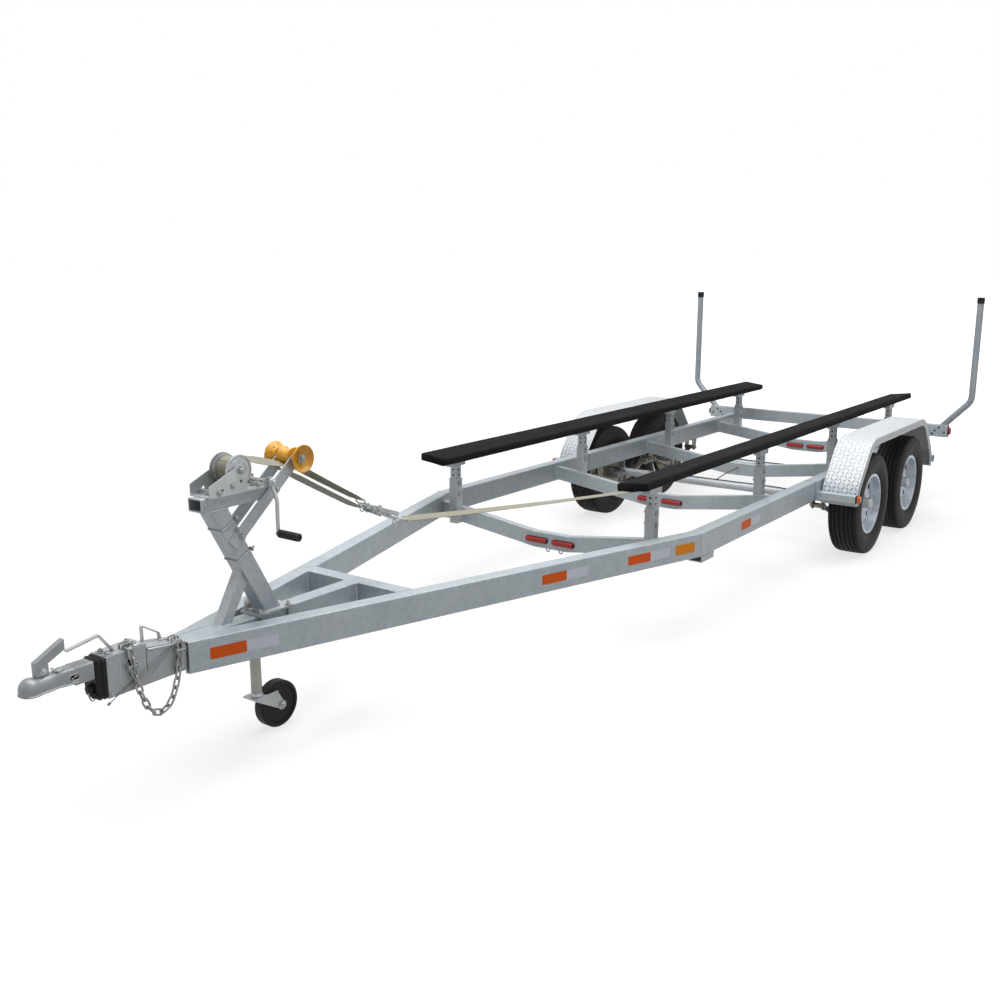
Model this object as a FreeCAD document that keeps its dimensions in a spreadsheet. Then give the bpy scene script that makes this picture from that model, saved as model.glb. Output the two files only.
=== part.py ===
import FreeCAD, Part
import Sketcher
import math
import os

# Tandem-axle boat trailer with a winch stand, a bow roller, two carpeted bunks and a jack.
# Millimetres, +X towards the coupler, +Y the trailer's left, +Z up, ground at z = 0.

os.makedirs("parts", exist_ok=True)
doc = FreeCAD.newDocument("BoatTrailer")

SIZES = {
    # frame rails: two bent box sections that close to a vee ahead of the bend
    "frame_half_width": 890,
    "rail_top": 560,
    "rail_height": 127,
    "rail_width": 76,
    "rail_wall": 5,
    "vee_length": 2632,
    "vee_nose_half_width": 58,
    "straight_length": 4205,
    "splice_behind_bend": 1650,
    "stub_length": 145,
    "stub_depth": 34,
    "stub_wall": 5,
    # tongue beam between the rails, and the short bar that it ends at
    "beam_width": 76,
    "beam_height": 102,
    "beam_into_case": 170,
    "nose_bar_ahead": 1665,
    "nose_bar_width": 76,
    # dropped crossmembers
    "cross_ahead": 70,
    "cross_spacing": 1313,
    "cross_height": 88,
    "cross_width": 50,
    "cross_wall": 5,
    "cross_below_top": 28,
    "cross_drop": 92,
    "cross_flat_half": 110,
    "cross_lamp_length": 150,
    "cross_lamp_height": 34,
    "cross_lamp_depth": 22,
    "cross_lamp_gap": 28,
    # rear bar with tail lamps and boat guides
    "bar_depth": 50,
    "bar_height": 100,
    "bar_wall": 4,
    "bar_above_rail": 62,
    "bar_half_length": 1055,
    "end_lamp_depth": 22,
    "end_lamp_width": 48,
    "end_lamp_height": 62,
    "tail_lamp_length": 165,
    "tail_lamp_height": 70,
    "tail_lamp_depth": 24,
    "tail_lamp_from_end": 60,
    "guide_radius": 25,
    "guide_wall": 3,
    "guide_half_spread": 1213,
    "guide_foot_half_spread": 1018,
    "guide_bend_height": 830,
    "guide_top": 1652,
    "guide_bend_radius": 110,
    "guide_cap_length": 46,
    "guide_cap_wall": 3,
    # bunks and the posts that carry them
    "bunk_length": 4572,
    "bunk_width": 176,
    "bunk_thickness": 45,
    "bunk_half_spread": 649,
    "bunk_front_ahead": 340,
    "bunk_top": 855,
    "bunk_tilt": 6.8,
    "bunk_edge_radius": 12,
    "post_width": 44,
    "sleeve_width": 54,
    "sleeve_height": 270,
    "sleeve_foot_below": 20,
    "saddle_length": 130,
    "saddle_wall": 6,
    "saddle_width": 110,
    "fit_gap": 0.5,
    "tube_edge_radius": 5,
    # running gear
    "tyre_radius": 344.5,
    "tyre_width": 205,
    "wheel_past_frame": 118,
    "tyre_wall": 13,
    "bead_radius": 190,
    "rim_flange_radius": 203,
    "rim_half_width": 84,
    "rim_well_radius": 166,
    "rim_wall": 5,
    "disc_wall": 6,
    "disc_bore_radius": 42,
    "disc_seat_radius": 84,
    "disc_crown_radius": 112,
    "disc_rise": 26,
    "window_count": 8,
    "window_ring_radius": 133,
    "window_half_width": 15,
    "window_half_length": 18,
    "axle_spacing": 860,
    "axles_behind_bend": 2610,
    "axle_radius": 30,
    "axle_past_frame": 16,
    "spindle_radius": 20,
    "spindle_past_frame": 156,
    "running_clearance": 0.05,
    "seat_gap": 0.3,
    "hub_radius": 41,
    "hub_flange_wall": 12,
    "drum_radius": 134,
    "drum_wall": 7,
    "drum_depth": 62,
    "hub_cap_radius": 35,
    "hub_cap_reach": 84,
    "backing_wall": 5,
    "backing_gap": 7,
    # leaf springs
    "equaliser_half_span": 75,
    "spring_width": 45,
    "leaf_wall": 8,
    "leaf_count": 4,
    "leaf_step": 75,
    "spring_eye_height": 366,
    "spring_eye_radius": 17,
    "spring_pin_radius": 8,
    "seat_wall": 9,
    "seat_length": 130,
    "hanger_wall": 7,
    "hanger_length": 76,
    "hanger_foot_radius": 24,
    "equaliser_pivot_height": 388,
    # fenders
    "fender_past_frame": 13,
    "fender_width": 228,
    "fender_top": 808,
    "fender_foot": 408,
    "fender_knee": 505,
    "fender_half_length": 872,
    "fender_half_top": 618,
    "fender_bend_share": 0.8,
    "fender_wall": 3,
    "fender_lip": 44,
    "arm_width": 50,
    "arm_wall": 4,
    "arm_above_rail_foot": 4,
    "arm_past_fender": 6,
    "side_lamp_depth": 20,
    "side_lamp_height": 42,
    # surge actuator and coupler
    "case_ahead": 2636,
    "case_length": 335,
    "case_half_width": 47,
    "case_wall": 4,
    "case_rear_height": 112,
    "case_front_height": 152,
    "case_front_rise": 36,
    "case_seam_share": 0.51,
    "case_seam_rise": 27,
    "case_step": 15,
    "slide_length": 140,
    "slide_half_width": 32,
    "slide_height": 66,
    "slide_wall": 5,
    "boot_length": 40,
    "boot_corner_radius": 20,
    "ball_ahead": 3231,
    "ball_height": 562,
    "ball_radius": 29.5,
    "socket_wall": 9,
    "socket_lip_width": 3,
    "socket_lip_wall": 4,
    "neck_length": 150,
    "latch_width": 26,
    "latch_base_length": 46,
    "latch_base_height": 49,
    "latch_throat_share": 0.8,
    "latch_rise": 106,
    "latch_reach": 110,
    "latch_depth": 36,
    "bar_lever_wall": 7,
    "bar_lever_width": 18,
    "bar_lever_length": 128,
    "bar_lever_rise": 74,
    "bar_lever_lean": 55,
    "bar_lever_drop": 20,
    "chain_wire_radius": 4.5,
    "chain_pitch": 36,
    "chain_inner_width": 13,
    "chain_front_share": 0.72,
    "chain_rear_share": 0.1,
    "chain_slack_share": 2.6,
    "chain_below_rail": 12,
    "link_corner_share": 0.6,
    "staple_wall": 5,
    # jack
    "jack_ahead": 2205,
    "jack_side": 74,
    "jack_tube_radius": 28,
    "jack_tube_foot": 404,
    "jack_tube_head": 578,
    "jack_dome_radius": 33,
    "jack_leg_radius": 23,
    "jack_leg_up": 70,
    "caster_radius": 102,
    "caster_width": 54,
    "caster_hub_radius": 22,
    "caster_pin_radius": 8,
    "fork_plate_height": 172,
    "fork_plate_wall": 8,
    "fork_plate_length": 128,
    "fork_wall": 5,
    "fork_gap": 5,
    "fork_foot_radius": 20,
    # winch stand
    "mast_foot_ahead": 2190,
    "mast_top_ahead": 2436,
    "mast_width": 76,
    "mast_wall": 5,
    "mast_base_wall": 8,
    "mast_base_length": 190,
    "mast_base_width": 112,
    "brace_foot_ahead": 2425,
    "brace_width": 50,
    "brace_reach_share": 0.36,
    "head_top": 1082,
    "head_height": 52,
    "head_rear_ahead": 2140,
    "head_front_ahead": 2518,
    # winch
    "winch_plate_wall": 4,
    "winch_half_width": 58,
    "winch_rear_ahead": 2180,
    "winch_front_ahead": 2492,
    "winch_low_height": 46,
    "winch_ear_height": 38,
    "winch_hole_radius": 6,
    "drum_ahead": 2340,
    "drum_above_head": 86,
    "drum_flange_radius": 62,
    "drum_flange_wall": 4,
    "drum_wound_radius": 44,
    "drum_pin_radius": 9,
    "drum_side_gap": 5.5,
    "crank_ahead": 2200,
    "crank_above_head": 21,
    "crank_shaft_radius": 9,
    "crank_arm_length": 205,
    "crank_arm_radius": 6,
    "crank_eye_radius": 16,
    "crank_eye_wall": 14,
    "crank_side": 106,
    "grip_radius": 15,
    "grip_length": 112,
    # bow stop
    "stop_arm_width": 50,
    "stop_arm_wall": 7,
    "stop_root_ahead": 2352,
    "stop_root_height": 905,
    "stop_root_tail": 42,
    "roller_ahead": 2035,
    "roller_height": 1172,
    "roller_pin_radius": 9,
    "roller_waist_radius": 30,
    "roller_shoulder_radius": 42,
    "roller_side_gap": 5.5,
    "bell_width": 36,
    "bell_radius": 58,
    "bell_root_radius": 36,
    "bell_cup_radius": 40,
    "bell_cup_depth": 14,
    # webbing
    "web_width": 50,
    "web_wall": 3,
    "hook_ahead": 1588,
    "hook_height": 888,
    "ratchet_length": 118,
    "ratchet_width": 66,
    "ratchet_height": 26,
    "tail_drop_share": 0.3,
}

sheet = doc.addObject("Spreadsheet::Sheet", "Sizes")
for row, (alias, number) in enumerate(SIZES.items(), start=1):
    sheet.set("A%d" % row, alias)
    sheet.set("B%d" % row, str(number))
    sheet.setAlias("B%d" % row, alias)
doc.recompute()


class Size:
    """A number with the expression that works it out from the sheet."""

    def __init__(self, value, text):
        self.value = float(value)
        self.text = text

    def _with(self, other, sign, result):
        return Size(result, "(%s %s %s)" % (self.text, sign, sized(other).text))

    def __add__(self, other):
        return self._with(other, "+", self.value + sized(other).value)

    def __sub__(self, other):
        return self._with(other, "-", self.value - sized(other).value)

    def __mul__(self, other):
        return self._with(other, "*", self.value * sized(other).value)

    def __truediv__(self, other):
        return self._with(other, "/", self.value / sized(other).value)

    def __radd__(self, other):
        return sized(other) + self

    def __rsub__(self, other):
        return sized(other) - self

    def __rmul__(self, other):
        return sized(other) * self

    def __neg__(self):
        return Size(-self.value, "(0 - %s)" % self.text)


def sized(number):
    if isinstance(number, Size):
        return number
    return Size(number, "(%r)" % number if number < 0 else "%r" % number)


class Sheet:
    """Gives each named size of the sheet as a Size."""

    def __getattr__(self, name):
        return Size(SIZES[name], "Sizes.%s" % name)


S = Sheet()
ZERO = sized(0)


def hypotenuse(a, b):
    a, b = sized(a), sized(b)
    return Size(math.hypot(a.value, b.value), "sqrt(%s ^ 2 + %s ^ 2)" % (a.text, b.text))


def short_side(long_side, other):
    """The third side of a right-angled triangle, from its longest side and one more."""
    long_side, other = sized(long_side), sized(other)
    return Size(math.sqrt(long_side.value ** 2 - other.value ** 2),
                "sqrt(%s ^ 2 - %s ^ 2)" % (long_side.text, other.text))


def angle_of(rise, run):
    rise, run = sized(rise), sized(run)
    degrees = math.degrees(math.atan2(rise.value, run.value))
    return Size(degrees, "(atan2(%s; %s) / 1 deg)" % (rise.text, run.text))


def sine(degrees):
    degrees = sized(degrees)
    return Size(math.sin(math.radians(degrees.value)), "sin(%s * 1 deg)" % degrees.text)


def cosine(degrees):
    degrees = sized(degrees)
    return Size(math.cos(math.radians(degrees.value)), "cos(%s * 1 deg)" % degrees.text)


def tangent(degrees):
    degrees = sized(degrees)
    return Size(math.tan(math.radians(degrees.value)), "tan(%s * 1 deg)" % degrees.text)


# Names and bindings

sub_parts = []
AXIS_TURN = {
    "x": FreeCAD.Rotation(FreeCAD.Vector(0, 1, 0), 90),
    "y": FreeCAD.Rotation(FreeCAD.Vector(1, 0, 0), -90),
    "z": FreeCAD.Rotation(),
}


def bind(thing, path, number):
    thing.setExpression(path, sized(number).text)


def move(thing, x, y, z, turn=None):
    placement = FreeCAD.Placement()
    if turn is not None:
        placement.Rotation = turn
    thing.Placement = placement
    for axis, number in zip("xyz", (x, y, z)):
        bind(thing, "Placement.Base." + axis, number)


def lean(thing, axis, degrees):
    """Turns a placed thing about its own base by a bound angle."""
    thing.Placement.Rotation = FreeCAD.Rotation(FreeCAD.Vector(*axis), sized(degrees).value)
    bind(thing, "Placement.Rotation.Angle", degrees)


def sub_part(label, thing):
    thing.Label = label
    sub_parts.append(thing)
    return thing


def block(name, lengths, centre):
    thing = doc.addObject("Part::Box", name)
    for side, length in zip(("Length", "Width", "Height"), lengths):
        bind(thing, side, length)
    move(thing, *[sized(place) - sized(length) / 2 for place, length in zip(centre, lengths)])
    return thing


def rod(name, radius, length, start, axis="z"):
    thing = doc.addObject("Part::Cylinder", name)
    bind(thing, "Radius", radius)
    bind(thing, "Height", length)
    move(thing, *start, turn=AXIS_TURN[axis])
    return thing


def cut(name, base, tool):
    thing = doc.addObject("Part::Cut", name)
    thing.Base = base
    thing.Tool = tool
    return thing


def fuse(name, things):
    thing = doc.addObject("Part::MultiFuse", name)
    thing.Shapes = things
    return thing


def group(name, things):
    thing = doc.addObject("Part::Compound", name)
    thing.Links = things
    return thing


def new_body(name):
    return doc.addObject("PartDesign::Body", name)


def new_sketch(body, name, role):
    sketch = body.newObject("Sketcher::SketchObject", name)
    plane = [item for item in body.Origin.OriginFeatures if item.Role == role][0]
    sketch.AttachmentSupport = (plane, [""])
    sketch.MapMode = "FlatFace"
    return sketch


def pin_point(sketch, line, end, x, y):
    """Ties one end of a sketch line to bound distances from the sketch's origin."""
    for kind, number, axis in (("DistanceX", sized(x), -2), ("DistanceY", sized(y), -1)):
        if number.text == ZERO.text:
            sketch.addConstraint(Sketcher.Constraint("PointOnObject", line, end, axis))
        else:
            index = sketch.addConstraint(Sketcher.Constraint(kind, -1, 1, line, end, number.value))
            bind(sketch, "Constraints[%d]" % index, number)


def polygon(sketch, points):
    first = sketch.GeometryCount
    corners = [FreeCAD.Vector(sized(x).value, sized(y).value, 0) for x, y in points]
    count = len(corners)
    for index in range(count):
        following = (index + 1) % count
        sketch.addGeometry(Part.LineSegment(corners[index], corners[following]), False)
    for index in range(count):
        following = first + (index + 1) % count
        sketch.addConstraint(Sketcher.Constraint("Coincident", first + index, 2, following, 1))
    for index, (x, y) in enumerate(points):
        pin_point(sketch, first + index, 1, x, y)


def circle(sketch, x, y, radius):
    centre = FreeCAD.Vector(sized(x).value, sized(y).value, 0)
    normal = FreeCAD.Vector(0, 0, 1)
    index = sketch.addGeometry(Part.Circle(centre, normal, sized(radius).value), False)
    pin_point(sketch, index, 3, x, y)
    constraint = sketch.addConstraint(Sketcher.Constraint("Radius", index, sized(radius).value))
    bind(sketch, "Constraints[%d]" % constraint, radius)


def pad(body, sketch, length, name, both_ways=True):
    feature = body.newObject("PartDesign::Pad", name)
    feature.Profile = sketch
    if both_ways:
        feature.SideType = "Symmetric"
    bind(feature, "Length", length)
    return feature


def pocket(body, sketch, length, name, both_ways=True, flip=False):
    feature = body.newObject("PartDesign::Pocket", name)
    feature.Profile = sketch
    feature.SideType = "Symmetric" if both_ways else "One side"
    feature.Reversed = flip
    bind(feature, "Length", length)
    return feature


def prism(name, role, points, depth, holes=()):
    """A padded outline, the same depth each way from its plane."""
    body = new_body(name)
    sketch = new_sketch(body, name + "_outline", role)
    polygon(sketch, points)
    for x, y, radius in holes:
        circle(sketch, x, y, radius)
    pad(body, sketch, depth, name + "_pad")
    return body


def spun(name, points, role="YZ_Plane", axis="H_Axis"):
    """A closed outline revolved about one axis of its sketch."""
    body = new_body(name)
    sketch = new_sketch(body, name + "_section", role)
    polygon(sketch, points)
    turn = body.newObject("PartDesign::Revolution", name + "_turn")
    turn.Profile = sketch
    turn.ReferenceAxis = (sketch, [axis])
    turn.Angle = 360
    return body


def round_edges(body, feature, radius, name, wanted):
    doc.recompute()
    chosen = []
    for index, edge in enumerate(feature.Shape.Edges, start=1):
        if wanted(edge):
            chosen.append("Edge%d" % index)
    fillet = body.newObject("PartDesign::Fillet", name)
    fillet.Base = (feature, chosen)
    bind(fillet, "Radius", radius)
    return fillet


def runs_along(edge, axis):
    direction = edge.tangentAt(edge.FirstParameter)
    return abs(getattr(direction, axis)) > 0.999


# Places worked out from the driving sizes

front_reach = S.ball_ahead + S.ball_radius + S.socket_wall + S.socket_lip_width
rear_reach = S.straight_length + S.bar_depth + S.tail_lamp_depth
bend_x = (rear_reach - front_reach) / 2
vee_slope = (S.frame_half_width - S.vee_nose_half_width) / S.vee_length
vee_angle = angle_of(S.frame_half_width - S.vee_nose_half_width, S.vee_length)
rail_foot = S.rail_top - S.rail_height
rail_inner_y = S.frame_half_width - S.rail_width
rail_centre_y = S.frame_half_width - S.rail_width / 2
wheel_half_track = S.frame_half_width + S.wheel_past_frame
spindle_half_length = S.frame_half_width + S.spindle_past_frame
fender_inner_y = S.frame_half_width + S.fender_past_frame
beam_half = S.beam_width / 2
nose_x = bend_x + S.vee_length
rear_x = bend_x - S.straight_length
splice_x = bend_x - S.splice_behind_bend
bogie_x = bend_x - S.axles_behind_bend
spring_y = rail_centre_y
cross_places = [bend_x + S.cross_ahead - S.cross_spacing * step for step in range(4)]
SIDES = (("left", 1), ("right", -1))
ENDS = (("front", 1), ("rear", -1))


def inner_line_y(x):
    """Where the inner face of the vee lies, measured from the middle of the trailer."""
    return rail_inner_y_on_vee - (x - bend_x) * vee_slope


rail_inner_y_on_vee = S.frame_half_width - S.rail_width / cosine(vee_angle)


def frame_rails():
    inner_bend_x = bend_x - S.rail_width * tangent(vee_angle / 2)
    meet_x = bend_x + (rail_inner_y_on_vee - beam_half) / vee_slope
    wall = S.rail_wall
    cavity_bend_x = bend_x - wall * tangent(vee_angle / 2)
    cavity_inner_bend_x = bend_x - (S.rail_width - wall) * tangent(vee_angle / 2)
    cavity_outer = S.frame_half_width - wall / cosine(vee_angle)
    cavity_inner = S.frame_half_width - (S.rail_width - wall) / cosine(vee_angle)
    for side, sign in SIDES:
        name = "rail_front_" + side
        body = new_body(name)
        outline = new_sketch(body, name + "_outline", "XY_Plane")
        polygon(outline, [
            (splice_x, sign * S.frame_half_width),
            (bend_x, sign * S.frame_half_width),
            (nose_x, sign * S.vee_nose_half_width),
            (nose_x, sign * beam_half),
            (meet_x, sign * beam_half),
            (inner_bend_x, sign * rail_inner_y),
            (splice_x, sign * rail_inner_y),
        ])
        tube = pad(body, outline, S.rail_height, name + "_pad")
        round_edges(body, tube, S.tube_edge_radius, name + "_corners", is_rail_corner)
        hollow = new_sketch(body, name + "_hollow", "XY_Plane")
        cavity_meet_x = bend_x + (cavity_inner - beam_half - wall) / vee_slope
        cavity_nose_x = bend_x + (cavity_outer - beam_half - wall) / vee_slope
        polygon(hollow, [
            (splice_x, sign * (S.frame_half_width - wall)),
            (cavity_bend_x, sign * (S.frame_half_width - wall)),
            (cavity_nose_x, sign * (beam_half + wall)),
            (cavity_meet_x, sign * (beam_half + wall)),
            (cavity_inner_bend_x, sign * (rail_inner_y + wall)),
            (splice_x, sign * (rail_inner_y + wall)),
        ])
        pocket(body, hollow, S.rail_height - 2 * wall, name + "_pocket")
        move(body, 0, 0, S.rail_top - S.rail_height / 2)
        sub_part(name, body)
        name = "rail_rear_" + side
        body = new_body(name)
        section = new_sketch(body, name + "_section", "YZ_Plane")
        rectangle(section, S.rail_width, S.rail_height)
        rectangle(section, S.rail_width - 2 * wall, S.rail_height - 2 * wall)
        length = S.straight_length - S.splice_behind_bend
        tube = pad(body, section, length, name + "_pad")
        reach = hypotenuse(S.rail_width, S.rail_height) / 2 - wall / 2
        round_tube(body, tube, "x", reach, name + "_corners")
        move(body, splice_x - length / 2, sign * rail_centre_y, S.rail_top - S.rail_height / 2)
        sub_part(name, body)


def is_rail_corner(edge):
    """True for the long edges of a front rail, apart from those against the tongue beam."""
    beside_beam = abs(abs(edge.CenterOfMass.y) - beam_half.value) < S.seat_gap.value
    return edge.Length > 2 * S.rail_height.value and not beside_beam


def rectangle(sketch, width, height):
    polygon(sketch, [
        (width / -2, height / -2),
        (width / 2, height / -2),
        (width / 2, height / 2),
        (width / -2, height / 2),
    ])


def square_tube(name, role, width, height, wall, length):
    body = new_body(name)
    section = new_sketch(body, name + "_section", role)
    rectangle(section, width, height)
    rectangle(section, width - 2 * wall, height - 2 * wall)
    tube = pad(body, section, length, name + "_pad")
    axis = "x" if role == "YZ_Plane" else "y"
    round_tube(body, tube, axis, hypotenuse(width, height) / 2 - wall / 2, name + "_corners")
    return body


def round_tube(body, tube, axis, reach, name):
    """Rounds the lengthwise edges of a tube that lie further from its middle line than reach."""
    round_edges(body, tube, S.tube_edge_radius, name,
                lambda edge: runs_along(edge, axis) and edge.CenterOfMass.Length > reach.value)


def bend_stubs():
    stubs = []
    for side, sign in SIDES:
        name = "stub_" + side
        body = new_body(name)
        section = new_sketch(body, name + "_section", "YZ_Plane")
        half = S.rail_width / 2
        polygon(section, [
            (-half, 0),
            (-half, -S.stub_depth),
            (half, -S.stub_depth),
            (half, 0),
            (half - S.stub_wall, 0),
            (half - S.stub_wall, S.stub_wall - S.stub_depth),
            (S.stub_wall - half, S.stub_wall - S.stub_depth),
            (S.stub_wall - half, 0),
        ])
        pad(body, section, S.stub_length, name + "_pad")
        move(body, bend_x - S.stub_length / 2 - S.stub_wall, sign * rail_centre_y, rail_foot)
        stubs.append(body)
    sub_part("bend_stubs", group("bend_stubs", stubs))


def tongue():
    rear = bend_x + S.nose_bar_ahead + S.nose_bar_width / 2
    front = nose_x + S.beam_into_case
    beam = square_tube("tongue_beam", "YZ_Plane", S.beam_width, S.beam_height, S.rail_wall, front - rear)
    move(beam, (front + rear) / 2, 0, S.rail_top - S.beam_height / 2)
    sub_part("tongue_beam", beam)
    low_x = bend_x + S.nose_bar_ahead - S.nose_bar_width / 2
    high_x = rear
    bar = new_body("nose_crossmember")
    outline = new_sketch(bar, "nose_crossmember_outline", "XY_Plane")
    polygon(outline, [
        (low_x, inner_line_y(low_x)),
        (high_x, inner_line_y(high_x)),
        (high_x, -inner_line_y(high_x)),
        (low_x, -inner_line_y(low_x)),
    ])
    pad(bar, outline, S.beam_height, "nose_crossmember_pad")
    hollow = new_sketch(bar, "nose_crossmember_hollow", "XY_Plane")
    polygon(hollow, [
        (low_x + S.rail_wall, inner_line_y(low_x)),
        (high_x - S.rail_wall, inner_line_y(high_x)),
        (high_x - S.rail_wall, -inner_line_y(high_x)),
        (low_x + S.rail_wall, -inner_line_y(low_x)),
    ])
    pocket(bar, hollow, S.beam_height - 2 * S.rail_wall, "nose_crossmember_pocket")
    move(bar, 0, 0, S.rail_top - S.beam_height / 2)
    sub_part("nose_crossmember", bar)


def crossmembers():
    top = S.rail_top - S.cross_below_top
    low = top - S.cross_drop
    for number, place in enumerate(cross_places, start=1):
        label = "crossmember_%d" % number
        name = "cross_bar_%d" % number
        half = rail_inner_y
        flat = S.cross_flat_half
        body = prism(name, "YZ_Plane", dropped_outline(half, flat, top, low, S.cross_height), S.cross_width)
        wall = S.cross_wall
        hollow = new_sketch(body, name + "_hollow", "YZ_Plane")
        polygon(hollow, dropped_outline(half, flat, top - wall, low - wall, S.cross_height - 2 * wall))
        pocket(body, hollow, S.cross_width - 2 * wall, name + "_pocket")
        move(body, place, 0, 0)
        on_vee = place.value + S.cross_width.value / 2 > bend_x.value
        sub_part(label, cut(name + "_mitred", body, vee_waste(name, place)) if on_vee else body)


def vee_waste(name, place):
    """What the raked rails cut off both ends of a bar."""
    near = place - S.cross_width
    far = place + S.cross_width
    tools = []
    for side, sign in SIDES:
        tool = prism("%s_waste_%s" % (name, side), "XY_Plane", [
            (near, sign * inner_line_y(near)),
            (far, sign * inner_line_y(far)),
            (far, sign * S.frame_half_width),
            (near, sign * S.frame_half_width),
        ], 2 * S.rail_top)
        tools.append(tool)
    return fuse(name + "_waste", tools)


def dropped_outline(half, flat, top, low, height):
    """A bar that slopes down from both ends to a short level middle."""
    return [
        (-half, top),
        (-flat, low),
        (flat, low),
        (half, top),
        (half, top - height),
        (flat, low - height),
        (-flat, low - height),
        (-half, top - height),
    ]


def crossmember_lamps():
    lamps = []
    middle = S.rail_top - S.cross_below_top - S.cross_drop - S.cross_height / 2
    side_step = (S.cross_lamp_length + S.cross_lamp_gap) / 2
    for number in (0, 1, 3):
        face = cross_places[number] + S.cross_width / 2
        for side, sign in SIDES:
            lamp = block("cross_lamp_%d_%s" % (number + 1, side),
                         (S.cross_lamp_depth, S.cross_lamp_length, S.cross_lamp_height),
                         (face + S.cross_lamp_depth / 2, sign * side_step, middle))
            lamps.append(lamp)
    sub_part("crossmember_lamps", group("crossmember_lamps", lamps))


def rear_bar():
    top = S.rail_top + S.bar_above_rail
    middle_z = top - S.bar_height / 2
    bar = square_tube("rear_crossbar", "XZ_Plane", S.bar_depth, S.bar_height, S.bar_wall, 2 * S.bar_half_length)
    move(bar, rear_x - S.bar_depth / 2, 0, middle_z)
    sub_part("rear_crossbar", bar)
    lamps = []
    for side, sign in SIDES:
        lamps.append(block("end_lamp_" + side,
                           (S.end_lamp_width, S.end_lamp_depth, S.end_lamp_height),
                           (rear_x - S.bar_depth / 2,
                            sign * (S.bar_half_length + S.end_lamp_depth / 2), middle_z)))
    for side, sign in SIDES:
        reach = S.bar_half_length - S.tail_lamp_from_end - S.tail_lamp_length / 2
        lamps.append(block("tail_lamp_" + side,
                           (S.tail_lamp_depth, S.tail_lamp_length, S.tail_lamp_height),
                           (rear_x - S.bar_depth - S.tail_lamp_depth / 2, sign * reach, middle_z)))
    sub_part("rear_lamps", group("rear_lamps", lamps))


def guide_poles():
    foot_z = S.rail_top + S.bar_above_rail
    pole_x = rear_x - S.bar_depth / 2
    caps = []
    for side, sign in SIDES:
        name = "guide_pole_" + side
        foot = (sign * S.guide_foot_half_spread, foot_z)
        elbow = (sign * S.guide_half_spread, S.guide_bend_height)
        head = (sign * S.guide_half_spread, S.guide_top)
        tube = bent_tube(name, pole_x, foot, elbow, head)
        sub_part(name, tube)
        cap = rod("guide_cap_outer_" + side, S.guide_radius + S.guide_cap_wall, S.guide_cap_length,
                  (pole_x, head[0], S.guide_top + S.guide_cap_wall - S.guide_cap_length))
        bore = rod("guide_cap_bore_" + side, S.guide_radius + S.seat_gap, S.guide_cap_length,
                   (pole_x, head[0], S.guide_top - S.guide_cap_length + S.seat_gap))
        caps.append(cut("guide_cap_" + side, cap, bore))
    sub_part("guide_pole_caps", group("guide_pole_caps", caps))


def bent_tube(name, x, foot, elbow, head):
    """A round tube up from a flat foot, round one bend and on to an upright head."""
    body = new_body(name)
    path = new_sketch(body, name + "_path", "YZ_Plane")
    run_y = sized(elbow[0]) - foot[0]
    run_z = sized(elbow[1]) - foot[1]
    run = hypotenuse(run_y, run_z)
    turn = angle_of(hypotenuse(run_y, 0), run_z)
    set_back = S.guide_bend_radius * tangent(turn / 2)
    first = (elbow[0] - run_y / run * set_back, elbow[1] - run_z / run * set_back)
    second = (elbow[0], elbow[1] + set_back)
    sign = 1 if sized(elbow[0]).value > 0 else -1
    centre = (elbow[0] - sign * S.guide_bend_radius, second[1])
    start = (foot[0] - run_y / run * S.guide_radius, foot[1] - run_z / run * S.guide_radius)
    corners = [start, first, second, head]
    vectors = [FreeCAD.Vector(sized(y).value, sized(z).value, 0) for y, z in corners]
    hub = FreeCAD.Vector(centre[0].value, centre[1].value, 0)
    path.addGeometry(Part.LineSegment(vectors[0], vectors[1]), False)
    path.addGeometry(Part.LineSegment(vectors[2], vectors[3]), False)
    bow = Part.Circle(hub, FreeCAD.Vector(0, 0, 1), S.guide_bend_radius.value)
    low, high = bow.parameter(vectors[1]), bow.parameter(vectors[2])
    if sign < 0:
        low, high = high, low
    path.addGeometry(Part.ArcOfCircle(bow, low, high), False)
    near_end, far_end = (1, 2) if sign > 0 else (2, 1)
    path.addConstraint(Sketcher.Constraint("Coincident", 0, 2, 2, near_end))
    path.addConstraint(Sketcher.Constraint("Coincident", 1, 1, 2, far_end))
    for line, end, corner in ((0, 1, start), (0, 2, first), (1, 1, second), (1, 2, head)):
        pin_point(path, line, end, *corner)
    bow_size = path.addConstraint(Sketcher.Constraint("Radius", 2, S.guide_bend_radius.value))
    bind(path, "Constraints[%d]" % bow_size, S.guide_bend_radius)
    ring = new_sketch(body, name + "_ring", "XY_Plane")
    ring.AttachmentOffset = FreeCAD.Placement()
    bind(ring, "AttachmentOffset.Base.z", S.guide_top)
    circle(ring, 0, elbow[0], S.guide_radius)
    circle(ring, 0, elbow[0], S.guide_radius - S.guide_wall)
    pipe = body.newObject("PartDesign::AdditivePipe", name + "_pipe")
    pipe.Profile = ring
    pipe.Spine = (path, ["Edge1", "Edge2", "Edge3"])
    below = new_sketch(body, name + "_below", "YZ_Plane")
    margin = 3 * S.guide_radius
    polygon(below, [
        (start[0] - margin, foot[1]),
        (start[0] + margin, foot[1]),
        (start[0] + margin, foot[1] - 2 * margin),
        (start[0] - margin, foot[1] - 2 * margin),
    ])
    pocket(body, below, 2 * margin, name + "_foot_cut")
    move(body, x, 0, 0)
    return body


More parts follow.
